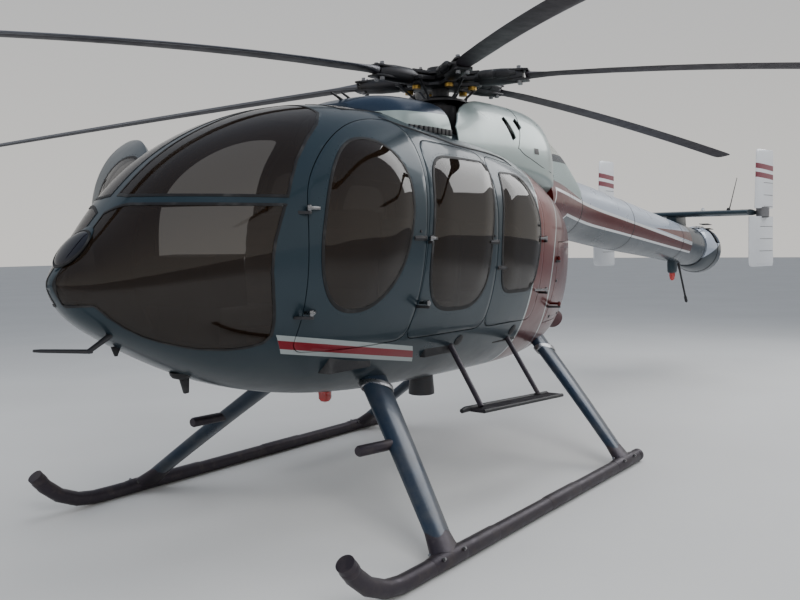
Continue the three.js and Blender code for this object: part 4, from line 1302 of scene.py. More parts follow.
DOOR_OUTLINES: dict[str, list[Pair]] = {
    "front": eased([
        (2.072, DOOR_LOW, 0.09), (2.078, 1.760, 0.3), (2.045, 1.895, 0.1), (1.970, 2.000, 0.1), (1.870, 2.092, 0.1),
        (1.750, 2.172, 0.1), (1.600, 2.242, 0.1), (1.420, 2.290, 0.1), (1.150, 2.310, 0.12),
        (seam_x(DOOR_LOW) + SEAM_HALF, DOOR_LOW, 0.09),
    ]),
    "mid": eased([
        (seam_x(DOOR_LOW) - SEAM_HALF, DOOR_LOW, 0.08), (seam_x(2.2) - SEAM_HALF, 2.200, 0.12),
        (SEAM_MID_AFT + SEAM_HALF, 2.170, 0.11), (SEAM_MID_AFT + SEAM_HALF, DOOR_LOW, 0.10),
    ]),
    "aft": eased([
        (SEAM_MID_AFT - SEAM_HALF, DOOR_LOW, 0.10), (SEAM_MID_AFT - SEAM_HALF, 2.160, 0.11), (-0.120, 2.110, 0.16),
        (-0.300, 1.900, 0.12), (-0.300, DOOR_LOW, 0.08),
    ]),
}


def leaning_oval(x: float, z: float, half_x: float, half_z: float, full: float,
                 lean: float) -> list[Pair]:
    """Gives an oval that leans with its height."""
    made = []
    for a in full_turn(64):
        c, s = math.cos(a), math.sin(a)
        up = half_z * math.copysign(abs(s) ** (2 / full), s)
        made.append((x + half_x * math.copysign(abs(c) ** (2 / full), c) + lean * up, z + up))
    return made


WINDOW_OUTLINES: dict[str, list[Pair]] = {
    "front": leaning_oval(1.655, 1.700, 0.325, 0.457, 2.2, -0.2),
    "mid": eased([(1.085, 2.105, 0.20), (0.410, 2.105, 0.08), (0.530, 1.195, 0.22), (1.190, 1.195, 0.38)], 12),
    "aft": eased([(0.290, 2.050, 0.05), (-0.090, 2.050, 0.15), (-0.262, 1.700, 0.25), (-0.170, 1.265, 0.13),
                  (0.300, 1.265, 0.13), (0.370, 1.600, 0.20)], 10),
}
SKYLIGHT = [(1.530, 0.110), (1.100, 0.110), (1.100, 0.330), (1.480, 0.330)]
BEAM = 0.028  # half the width of the windshield's middle beam
POST_LOW, POST_HIGH = 1.786, 1.824  # the windshield's cross bar


def until_beam(x: float, z: float) -> list[Array]:
    """Follows a level line forwards round the nose until it meets the beam on the centreline."""
    xs = np.linspace(x, 3.08, 500)
    st = POD.flat([(a, z) for a in xs])
    keep = POD.skin(st)[:, 1] > BEAM
    last = int(np.argmin(keep)) if not keep.all() else len(keep)
    return list(st[:max(last, 1)][::12])


def upper_pane() -> Array:
    """Gives the upper windshield pane's chart outline."""
    rear = [(1.665, 2.360), (1.700, 2.300), (1.810, 2.218), (1.945, 2.122), (2.060, 2.010), (2.125, 1.910)]
    level = until_beam(2.165, POST_HIGH)
    last_x = float(np.interp(level[-1][0], POD.ss, POD.xs))
    beam = POD.roof([(x, BEAM) for x in np.linspace(last_x, 1.665, 50)])
    return np.concatenate([POD.flat(rear), np.array(level), beam])


def lower_pane() -> Array:
    """Gives the lower windshield pane's chart outline."""
    rear = [(2.185, POST_LOW), (2.222, 1.70), (2.250, 1.62), (2.264, 1.54), (2.268, 1.459), (2.252, 1.35),
            (2.222, 1.22), (2.212, 1.15), (2.240, 1.115), (2.31, 1.096), (2.40, 1.092), (2.54, 1.108),
            (2.672, 1.146), (2.76, 1.182), (2.843, 1.230), (2.91, 1.280), (2.965, 1.332)]
    level = until_beam(2.965, 1.332)
    turn = np.linspace(math.radians(-86), math.radians(88), 400)
    c, s = np.abs(np.cos(turn)), np.abs(np.sin(turn))
    full = np.where(turn > 0, FULL_TOP, FULL_BOTTOM)
    need = BEAM / (c * (c ** full + s ** full) ** (-1 / full))
    xs = np.linspace(1.2, 3.083, 800)
    x = np.interp(need, POD.rows(xs)[2][::-1], xs[::-1])
    beam = np.stack([POD.s_at(x), turn * GIRTH], axis=1)
    z = POD.skin(beam)[:, 2]
    beam = beam[(z > 1.34) & (z < POST_LOW - 0.006)][::6]
    back = until_beam(2.185, POST_LOW)[::-1]
    return np.concatenate([POD.flat(rear), np.array(level), beam, np.array(back)])


def bulge(outline: Array, height: float, reach: float) -> Callable[[Array], Array]:
    """Returns a lift that swells a window outwards away from its edge."""
    return lambda st: height * np.sin(np.minimum(edge_distance(st, outline) / reach, 1.0) * math.pi / 2)


def strip(name: str, outline: Array, out: float, into: float, lift: float, thickness: float,
          edge: float = 0.0012) -> Object:
    """Makes a strip that follows an outline on the pod.

    Args:
        name: the piece's name.
        outline: the chart outline.
        out: how far the strip reaches outside it.
        into: how far it reaches inside it.
        lift: how far its face stands out of the skin.
        thickness: its thickness.
        edge: how far its edges are eased.

    Returns:
        The new piece.
    """
    fine = resampled(outline)
    return POD.panel(name, [grown(fine, out)], [grown(fine, -into)], lift, thickness, edge)


def rivet_line(name: str, outline: Array, away: float, pitch: float) -> Object:
    """Sets a row of low round heads along an outline on the pod."""
    path = resampled(grown(resampled(outline, 0.01), away), 0.004)
    run = np.cumsum(np.linalg.norm(np.diff(path, axis=0, append=path[:1]), axis=1))
    places = []
    for distance in np.arange(0.5 * pitch, run[-1] - pitch * 0.3, pitch):
        spot = path[int(np.searchsorted(run, distance))]
        normal = POD.normal(spot)
        places.append(facing(Vector(POD.place(spot)[0]) + normal * 0.0004, normal))
    return stamped(name, rivet(0.0042, 0.0016), places)


@dataclass
class CabinShell:
    """The pod's fixed skin with its floor, rear wall, posts and seals, the glass and the nose lens."""

    wall_x: Pair = (-0.520, -0.400)
    post_half: float = 0.030
    engine_door_x: float = -0.650
    engine_door_z: Pair = (0.985, 1.590)
    lens_place: Triple = (2.966, 0.0, 1.586)
    lens_tilt: float = 48.0

    def tail_zone(self, grow: float) -> Array:
        """Gives the chart outline of the engine doors' zone, grown by some distance."""
        low, high = self.engine_door_z[0] - grow, self.engine_door_z[1] + grow
        xs = np.linspace(self.engine_door_x + grow, -1.7895, 60)
        return POD.flat([(x, low) for x in xs] + [(x, high) for x in xs[::-1]])

    def skin(self) -> Object:
        """Makes the skin with all its openings."""
        sheet = np.array([(0.0, -CENTRE_T), (POD.length, -CENTRE_T), (POD.length, CENTRE_T), (0.0, CENTRE_T)])
        holes = [grown(resampled(POD.flat(o)), SEAM) for o in DOOR_OUTLINES.values()]
        holes += [upper_pane(), lower_pane(), POD.roof(SKYLIGHT), self.tail_zone(SEAM)]
        shell = POD.panel("cabin_skin", [sheet], holes, 0.0, WALL, 0.0022, both=True)
        return cut(shell, drum("outlet", *EXHAUST, OUTLET_RADIUS, sides=64))

    def inner(self) -> None:
        """Makes the floor, the rear wall and the door posts."""
        low = FLOOR_Z - 0.030
        xs = [x for x in np.linspace(2.5, self.wall_x[1], 60) if POD.rows(np.array([x]))[1][0] < FLOOR_Z - 0.064]
        edge = [(x, float(POD.skin(POD.flat([(x, low)]))[0, 1]) - 0.036) for x in xs]
        outline = edge + [(x, -y) for x, y in reversed(edge)]
        floor = rounded(plate("cabin_floor", outline, Plane.XY, low, FLOOR_Z), 0.003)
        Piece(floor, "dark_metal", [CARPET]).seat()
        turn = np.linspace(-math.pi, math.pi, 73)[:-1]
        ring = POD.skin(np.stack([np.full(72, POD.s_at(self.wall_x[1] - 0.02)), turn * GIRTH], 1))
        outline = [(y * 0.955, 1.5 + (z - 1.5) * 0.955) for _, y, z in ring if z > 0.70]
        wall = rounded(plate("rear_wall", outline, Plane.YZ, *self.wall_x), 0.004)
        Piece(wall, "dark_metal", [TRIM]).seat()
        posts = []
        for name, at in (("fore", seam_x), ("aft", lambda z: SEAM_MID_AFT)):
            heights = np.linspace(0.93, 2.30, 30)
            outline = [(at(z) - self.post_half, z) for z in heights]
            outline += [(at(z) + self.post_half, z) for z in heights[::-1]]
            posts += pair(POD.panel(f"post_{name}", [POD.flat(outline)], (), -0.034, 0.042, 0.004))
        Piece(joined("door_posts", posts), "dark_metal", [BLACK, TRIM]).seat()

    def seals(self) -> None:
        """Lays the rubber seals behind the door seams."""
        parts = []
        for key, outline in DOOR_OUTLINES.items():
            parts += pair(strip(f"seal_{key}", POD.flat(outline), 0.016, 0.020, -0.0315, 0.006, 0.0))
        Piece(joined("door_seals", parts), "step_black", [SEAL, SEAL]).seat()

    def glass(self) -> None:
        """Sets the windshield panes and roof windows in their rubber."""
        panes = {"windshield_upper": upper_pane(), "windshield_lower": lower_pane(), "skylight": POD.roof(SKYLIGHT)}
        trims = []
        for name, outline in panes.items():
            pane = POD.panel(f"{name}_left_glass", [grown(resampled(outline), -0.001)], (), -0.0005, 0.006, 0.0)
            other = mirrored(pane, f"{name}_right_glass")
            for side, obj in (("left", pane), ("right", other)):
                Piece(obj, "tinted_glass", [GLASS, GLASS], [f"{name}_{side}"]).seat()
            trims += pair(strip(f"trim_{name}", outline, 0.006, 0.010, 0.0022, 0.004))
        Piece(joined("windshield_rubber", trims), "step_black", [SEAL, SEAL]).seat()

    def lens(self) -> None:
        """Makes the dark oval lens on the nose with its frame."""
        centre = float(POD.s_at(self.lens_place[0]))
        oval = np.array([(centre + 0.128 * math.cos(a), CENTRE_T + 0.27 * math.sin(a))
                         for a in np.linspace(-math.pi, 0, 40)])
        patch = POD.panel("lens_frame", [oval], (), 0.0035, 0.006, 0.001, both=True)
        Piece(patch, "body_paint", [BODY_PLAIN, BODY_PLAIN]).seat()
        clear()
        bpy.ops.mesh.primitive_uv_sphere_add(segments=48, ring_count=24)
        dome = fresh("nose_lens_glass")
        seat = Matrix.Translation(self.lens_place) @ Matrix.Rotation(math.radians(self.lens_tilt), 4, "Y")
        turned(dome, seat @ Matrix.Diagonal((0.105, 0.086, 0.026, 1.0)))
        Piece(dome, "tinted_glass", [DARK_LENS], ["nose_lens"]).seat()
        ring = hoop("nose_lens_rim", (0, 0, 0), (0, 0, 1), 1.0, 0.055, 64)
        turned(ring, seat @ Matrix.Translation((0, 0, 0.002)) @ Matrix.Diagonal((0.108, 0.089, 0.10, 1.0)))
        Piece(ring, "step_black", [SEAL]).seat()

    def build(self) -> None:
        """Builds the shell and everything fixed to it."""
        Piece(self.skin(), "body_paint", [BODY, TRIM], ["cabin_shell"]).seat()
        self.inner()
        self.seals()
        self.glass()
        self.lens()


@dataclass
class Hinges:
    """The two strap hinges of one door: a lug with a pin on the frame, a knuckle with a strap on the leaf."""

    key: str
    places: dict[str, tuple[float, float, int, Pair]] = field(default_factory=lambda: {
        "front": (2.082, 0.628, -1, (1.770, 1.255)), "mid": (1.235, 0.727, -1, (1.620, 1.255)),
        "aft": (-0.304, 0.684, 1, (1.620, 1.255)), "engine": (-0.646, 0.616, -1, (1.470, 1.130)),
    })

    def heights(self) -> list[tuple[float, float, float, int]]:
        """Gives x, y, height and the leaf's direction for each hinge."""
        x, y, leaf, heights = self.places[self.key]
        return [(seam_x(z) if self.key == "mid" else x, y, z, leaf) for z in heights]

    def build(self, part: str) -> Object:
        """Makes the fixed or the leaf half of both hinges.

        Args:
            part: "fixed" or "leaf".

        Returns:
            The joined piece on the left side.
        """
        made = []
        for x, y, z, leaf in self.heights():
            skin = POD.side(x, z).y
            far, near = POD.side(x + leaf * 0.080, z).y, POD.side(x - leaf * 0.045, z).y
            if part == "leaf":
                outline = [(0.0, y - 0.010), (0.005, y - 0.010), (0.010, skin - 0.004), (0.080, far - 0.002),
                           (0.080, far + 0.0045), (0.014, y + 0.009), (0.0, y + 0.009)]
                outline = [(x + leaf * dx, py) for dx, py in outline]
                made.append(rounded(plate("strap", outline, Plane.XY, z - 0.008, z + 0.008), 0.0015))
                made.append(drum("knuckle", (x, y, z - 0.014), (x, y, z + 0.014), 0.011, sides=24, soft=0.002))
            else:
                outline = [(0.009, y - 0.008), (-0.004, y - 0.010), (-0.009, skin - 0.006), (-0.045, near - 0.004),
                           (-0.045, near + 0.0045), (-0.009, y + 0.009), (0.009, y + 0.009)]
                outline = [(x + leaf * dx, py) for dx, py in outline]
                if self.key == "mid":
                    outline = [(x - 0.008, skin - 0.070), (x + 0.008, skin - 0.070), (x + 0.008, y + 0.009),
                               (x - 0.008, y + 0.009)]
                made.append(rounded(plate("lug", outline, Plane.XY, z - 0.030, z - 0.0145), 0.0015))
                made.append(drum("pin", (x, y, z - 0.029), (x, y, z + 0.018), 0.006, sides=16, soft=0.001))
        return joined(f"hinge_{self.key}_{part}", made)


OPEN_RIGHT_FRONT = about((*OPEN_DOOR[:2], 0.0), (0, 0, 1), OPEN_DOOR[2])


@dataclass
class SideDoor:
    """One side door with its window, handle, straps and rivets, left and right."""

    key: str
    handle: Pair
    glass_bulge: float = 0.016

    def latch(self) -> Object:
        """Makes the flush handle: a dished plate with a lever."""
        x, z = self.handle
        normal = POD.normal(POD.flat([(x, z)])[0])
        along = Vector((1.0, 0.0, 0.0))
        along = (along - normal * along.dot(normal)).normalized()
        place = Matrix((along, normal.cross(along), normal)).transposed().to_4x4()
        place.translation = POD.side(x, z)
        base = block("plate", (-0.060, -0.014, -0.004), (0.060, 0.014, 0.003), 0.003)
        lever = block("lever", (-0.048, -0.007, 0.006), (0.066, 0.007, 0.013), 0.003)
        pivot = drum("pivot", (-0.038, 0, 0.0), (-0.038, 0, 0.014), 0.009, sides=20, soft=0.002)
        lock = drum("lock", (0.0, -0.038, -0.002), (0.0, -0.038, 0.004), 0.008, sides=20, soft=0.001)
        return turned(joined(f"door_{self.key}_handle", [base, lever, pivot, lock]), place)

    def build(self) -> None:
        """Builds both doors."""
        name, front = f"door_{self.key}", self.key == "front"
        window = POD.flat(WINDOW_OUTLINES[self.key])
        pane = resampled(window)
        outline = resampled(POD.flat(DOOR_OUTLINES[self.key]))
        leaf = POD.panel(f"{name}_leaf", [outline], [window], 0.0, WALL, 0.0025)
        glass = POD.panel(f"{name}_glass", [grown(pane, 0.004)], (), bulge(pane, self.glass_bulge, 0.15), 0.005, 0.0)
        parts = [
            (leaf, "body_paint", [BODY, TRIM], f"{name}_{{}}"),
            (glass, "tinted_glass", [GLASS, GLASS], f"window_{self.key}_{{}}"),
            (strip(f"{name}_rubber", window, 0.009, 0.009, 0.0028, 0.005), "step_black", [SEAL, SEAL], ""),
            (rivet_line(f"{name}_rivets", window, 0.024, 0.042), "body_paint", [BODY_PLAIN], ""),
            (self.latch(), "bare_metal", [DARK], ""),
            (Hinges(self.key).build("leaf"), "bare_metal", [CHROME], ""),
        ]
        for obj, slot, finishes, stands in parts:
            seat_sides(obj, slot, finishes, stands, f"{name}_{{}}", OPEN_RIGHT_FRONT if front else None,
                       [BODY_OPEN if front and finish is BODY else finish for finish in finishes])


@dataclass
class EngineDoors:
    """The two clamshell doors under the engine."""

    shell: CabinShell

    def build(self) -> None:
        """Builds both doors with their straps, catches and rivets."""
        zone = resampled(self.shell.tail_zone(0.0))
        zone[:, 1] = np.clip(zone[:, 1], -CENTRE_T + 0.006, CENTRE_T - 0.006)
        leaf = POD.panel("engine_door_leaf", [zone], (), 0.0, WALL, 0.0025)
        leaf = cut(leaf, drum("outlet", *EXHAUST, OUTLET_RADIUS, sides=64))
        line = POD.flat([(-0.70, 1.03), (-0.70, 1.55), (-1.25, 1.55), (-1.25, 1.03)])
        rivets = rivet_line("engine_door_rivets", line, 0.0, 0.055)
        catches = [turned(block("catch", (-0.018, -0.010, -0.003), (0.018, 0.010, 0.004), 0.002), POD.set_down(x, z))
                   for x, z in ((-0.69, 1.30), (-0.78, 1.02), (-1.10, 1.02))]
        door = "engine_door_{}"
        parts = [(leaf, "body_paint", [BODY, TRIM], door), (rivets, "body_paint", [BODY_PLAIN], ""),
                 (joined("engine_door_catches", catches), "bare_metal", [DARK], ""),
                 (Hinges("engine").build("leaf"), "bare_metal", [BODY], "")]
        for obj, slot, finishes, stands in parts:
            seat_sides(obj, slot, finishes, stands, door)


# --------------------------------------------------------------------------------------------------
# Inside
# --------------------------------------------------------------------------------------------------


def cushion(name: str, low: Point, high: Point, crown: float, channels: Point,
            up: int = 2) -> Object:
    """Makes a stuffed pad whose sides pull in and whose face has sewn channels.

    Args:
        name: the piece's name.
        low: its lowest corner.
        high: its highest corner.
        crown: how far its face swells.
        channels: where the sewn channels run across it, from -1 to 1.
        up: which axis its face looks along.

    Returns:
        The new piece.
    """
    middle = [(a + b) / 2 for a, b in zip(low, high)]
    half = [(b - a) / 2 for a, b in zip(low, high)]
    clear()
    bpy.ops.mesh.primitive_cube_add(size=2)
    obj = fresh(name)
    edit(obj, lambda: bpy.ops.mesh.subdivide(number_cuts=25))
    co = np.array([v.co for v in obj.data.vertices])
    co /= (np.abs(co) ** 7).sum(axis=1, keepdims=True) ** (1 / 7)
    other = [i for i in range(3) if i != up]
    a, b, face = co[:, other[0]], co[:, other[1]], co[:, up]
    swell = crown * (1 - a * a) * (1 - b * b)
    for spot in channels:
        swell -= 0.011 * np.exp(-((b - spot) / 0.035) ** 2)
    co = co * np.array(half)
    co[:, up] += np.where(face > 0, swell * face, 0.0)
    obj.data.vertices.foreach_set("co", (co + middle).reshape(-1))
    obj.data.update()
    return modify(obj, "SUBSURF", levels=1, render_levels=1)


@dataclass
class Seats:
    """Two front seats and two benches in stitched leather."""

    rows: tuple[tuple[str, float, float, float, float, float], ...] = (
        # name, cushion x from and to, y from and to, and the back's top
        ("seat_front_left", 1.400, 1.860, 0.110, 0.520, 1.790),
        ("seat_front_right", 1.400, 1.860, -0.520, -0.110, 1.790),
        ("bench_mid", 0.620, 1.040, -0.560, 0.560, 1.760),
        ("bench_aft", -0.230, 0.190, -0.530, 0.530, 1.740),
    )

    def build(self) -> None:
        """Builds each seat: frame, cushion, back and belt."""
        for name, x0, x1, y0, y1, top in self.rows:
            single = y1 - y0 < 0.6
            spread = (-0.62, -0.22, 0.22, 0.62) if single else tuple(np.linspace(-0.85, 0.85, 11))
            pad = cushion(f"{name}_cushion", (x0 + 0.02, y0, 1.115), (x1, y1, 1.232), 0.018, spread)
            back = cushion(f"{name}_back", (x0 + 0.012, y0 + 0.01, 1.225), (x0 + 0.105, y1 - 0.01, top), 0.016,
                           spread, up=0)
            turned(back, about((x0 + 0.05, 0.0, 1.225), (0, 1, 0), -6.5))  # it leans to the rear
            soft = joined(f"{name}_leather", [pad, back])
            Piece(soft, "seat_leather", [HIDE], [name]).seat()
            base = block("base", (x0 + 0.04, y0 + 0.04, FLOOR_Z + 0.001), (x1 - 0.07, y1 - 0.04, 1.118), 0.008)
            outline = [(x0 - 0.004, 1.12), (x0 + 0.014, 1.12), (x0 - 0.052, top - 0.02), (x0 - 0.066, top - 0.02)]
            parts = [base, rounded(plate("shell", outline, Plane.XZ, y0 + 0.02, y1 - 0.02), 0.003)]
            count = 1 if single else 3
            for k in range(count):
                y = y0 + (y1 - y0) * (k + 0.5) / count
                parts.append(block("buckle", (x0 + 0.26, y - 0.03, 1.245), (x0 + 0.32, y + 0.03, 1.258), 0.003))
            Piece(joined(f"{name}_frame", parts), "dark_metal", [BLACK]).seat()


@dataclass
class Controls:
    """The instrument panel on its pedestal, with round dials and radios, and two sticks."""

    dials: tuple[Pair, ...] = tuple(
        (y, z) for z in (1.475, 1.375) for y in (0.22, 0.12, 0.02, -0.08, -0.18))

    def build(self) -> None:
        """Builds the panel."""
        foot = []
        for x in (2.24, 2.34, 2.44):
            belly = float(POD.rows(np.array([x]))[1][0])
            foot.append((x, max(belly + 0.045, FLOOR_Z + 0.001)))
        parts = [rounded(plate("pedestal", [*foot, (2.42, 1.32), (2.21, 1.32)], Plane.XZ, -0.12, 0.12), 0.008),
                 rounded(plate("head", [(2.18, 1.29), (2.43, 1.29), (2.44, 1.48), (2.38, 1.54), (2.17, 1.55),
                                        (2.20, 1.53)], Plane.XZ, -0.29, 0.29), 0.010)]
        for y, z in self.dials:
            x = 2.178 + (z - 1.29) * 0.06
            parts.append(lathe("dial", [(0.0, -0.004), (0.043, -0.004), (0.043, 0.008), (0.037, 0.008),
                                        (0.036, 0.003), (0.0, 0.003)], (x, y, z), (-1, 0, 0.06), 28))
        for k in range(4):
            parts.append(block("radio", (2.195 + k * 0.004, -0.085, 1.00 + k * 0.065),
                               (2.235, 0.085, 1.055 + k * 0.065), 0.003))
        for y in (0.30, -0.30):
            parts.append(rod("stick", [(2.02, y, 0.92), (2.00, y, 1.10), (1.93, y, 1.24), (1.92, y, 1.34)],
                             [0.011, 0.011, 0.013, 0.018], 12))
        Piece(joined("cockpit_controls", parts), "step_black", [BLACK], ["instrument_panel"]).seat()


@dataclass
class EngineBay:
    """The engine in its bay and the exhaust pipe with its red cover."""

    def build(self) -> None:
        """Builds the engine and the exhaust."""
        parts = [block("case", (-0.98, -0.20, 1.20), (-0.522, 0.20, 1.62), 0.03),
                 drum("turbine", (-0.96, 0, 1.41), (-1.22, 0, 1.41), 0.175, 0.14, 40, 0.012),
                 hoop("flange_a", (-0.99, 0, 1.41), (1, 0, 0), 0.178, 0.010),
                 hoop("flange_b", (-1.12, 0, 1.41), (1, 0, 0), 0.160, 0.009)]
        for a in full_turn(8):
            path = [(x, 0.165 * k * math.cos(a), 1.41 + 0.165 * k * math.sin(a))
                    for x, k in ((-0.97, 1.15), (-1.05, 1.18), (-1.16, 1.0))]
            parts.append(rod("pipe", path, 0.009, 8))
        Piece(joined("engine", parts), "bare_metal", [HOT], ["engine_block"]).seat()
        start, end = (Vector(place) for place in EXHAUST)
        axis = (end - start).normalized()
        length = (end - start).length
        pipe = lathe("exhaust_tube", [(0.084, 0.02), (0.090, 0.0), (0.086, length - 0.10), (0.082, length - 0.03),
                                      (0.084, length - 0.012), (0.084, length), (0.076, length), (0.076, 0.10),
                                      (0.0, 0.10)], start, axis)
        Piece(pipe, "cover_red", [SLEEVE], ["exhaust_pipe"]).seat()
        cap = lathe("exhaust_cover", [(0.0, length - 0.055), (0.073, length - 0.055), (0.0755, length - 0.045),
                                      (0.0755, length - 0.020), (0.067, length - 0.013), (0.0, length - 0.010)],
                    start, axis)
        Piece(cap, "cover_red", [RED_CAP]).seat()


# --------------------------------------------------------------------------------------------------
# Covers on the roof
# --------------------------------------------------------------------------------------------------


def egg_rings(rows: Flat, full_top: float, full_bottom: float, count: int, sides: int, low: float = -180.0,
              high: float = 180.0) -> Array:
    """Gives the rings of a form from its table of sections.

    Args:
        rows: x, top, bottom, half width and widest height, from the front to the rear.
        full_top: how square the upper half is.
        full_bottom: how square the lower half is.
        count: how many rings are made.
        sides: how many points each has.
        low: the first angle of each ring in degrees.
        high: the last one; a full turn makes closed rings.

    Returns:
        An array of (ring, point, xyz).
    """
    table = np.array(rows)
    run = np.concatenate([[0], np.cumsum(np.hypot(np.diff(table[:, 0]), np.diff(table[:, 1])))])
    v = spline(run, table)(np.linspace(0, run[-1], count))
    whole = high - low >= 359.9
    angles = np.radians(np.linspace(low, high, sides, endpoint=not whole))
    c, s = np.cos(angles), np.sin(angles)
    full = np.where(s > 0, full_top, full_bottom)
    r = (np.abs(c) ** full + np.abs(s) ** full) ** (-1 / full)
    x, top, bottom, half, wide = (v[:, i][:, None] for i in range(5))
    reach = np.where(s[None] > 0, top - wide, wide - bottom)
    return np.stack([np.repeat(x, sides, 1), half * (r * c)[None], wide + reach * (r * s)[None]], axis=2)


ENGINE_ROWS = ((0.520, 2.545, 1.990, 0.492, 2.175), (0.200, 2.600, 1.960, 0.494, 2.165),
               (-0.200, 2.636, 1.950, 0.492, 2.150), (-0.560, 2.640, 1.930, 0.488, 2.120),
               (-0.800, 2.628, 1.900, 0.470, 2.085), (-0.930, 2.612, 1.880, 0.430, 2.060),
               (-1.010, 2.596, 1.870, 0.388, 2.040), (-1.045, 2.580, 1.860, 0.366, 2.035))
ROOF_ROWS = ((1.180, 2.452, 2.240, 0.190, 2.270), (1.090, 2.490, 2.220, 0.400, 2.230),
             (0.980, 2.512, 2.200, 0.462, 2.205), (0.820, 2.522, 2.180, 0.484, 2.195),
             (0.600, 2.522, 2.165, 0.489, 2.190))
SCREEN_ROWS = ((-1.0455, 2.555, 1.820, 0.352, 2.010), (-1.200, 2.530, 1.820, 0.350, 2.005),
               (-1.350, 2.470, 1.820, 0.345, 1.995), (-1.500, 2.382, 1.820, 0.335, 1.985),
               (-1.620, 2.285, 1.820, 0.322, 1.970), (-1.720, 2.200, 1.835, 0.305, 1.950),
               (-1.760, 2.168, 1.850, 0.288, 1.940))
BOOM_ROWS = ((-0.900, 2.240, 1.640, 0.445, 1.930), (-1.300, 2.215, 1.635, 0.385, 1.925),
             (-1.700, 2.185, 1.630, 0.318, 1.905), (-2.050, 2.158, 1.614, 0.280, 1.886),
             (-2.570, 2.100, 1.560, 0.270, 1.830), (-3.600, 1.973, 1.464, 0.254, 1.718),
             (-4.750, 1.830, 1.360, 0.235, 1.595), (-5.490, 1.748, 1.282, 0.232, 1.515))


def egg_side(rows: Flat, full: float, x: float, z: float) -> float:
    """Gives a form's half width at a place above its widest line."""
    rings = egg_rings(rows, full, 2.0, 300, 2, 0.0, 90.0)[::-1]
    half, wide = (float(np.interp(x, rings[:, 0, 0], rings[:, 0, i])) for i in (1, 2))
    top = float(np.interp(x, rings[:, 1, 0], rings[:, 1, 2]))
    share = min(max((z - wide) / (top - wide), 0.0), 1.0)
    return half * (1 - share ** full) ** (1 / full)


def drawn_in(ring: Array, shares: Point, ahead: float, z: float) -> list[Array]:
    """Draws a ring together round a height, to close a cover's end.

    Args:
        ring: the ring.
        shares: how large each new ring is.
        ahead: how far the last one would stand ahead of the ring.
        z: the height round which it closes.

    Returns:
        The new rings.
    """
    return [np.stack([ring[:, 0] + ahead * (1 - k), ring[:, 1] * k, z + (ring[:, 2] - z) * k], axis=1)
            for k in shares]


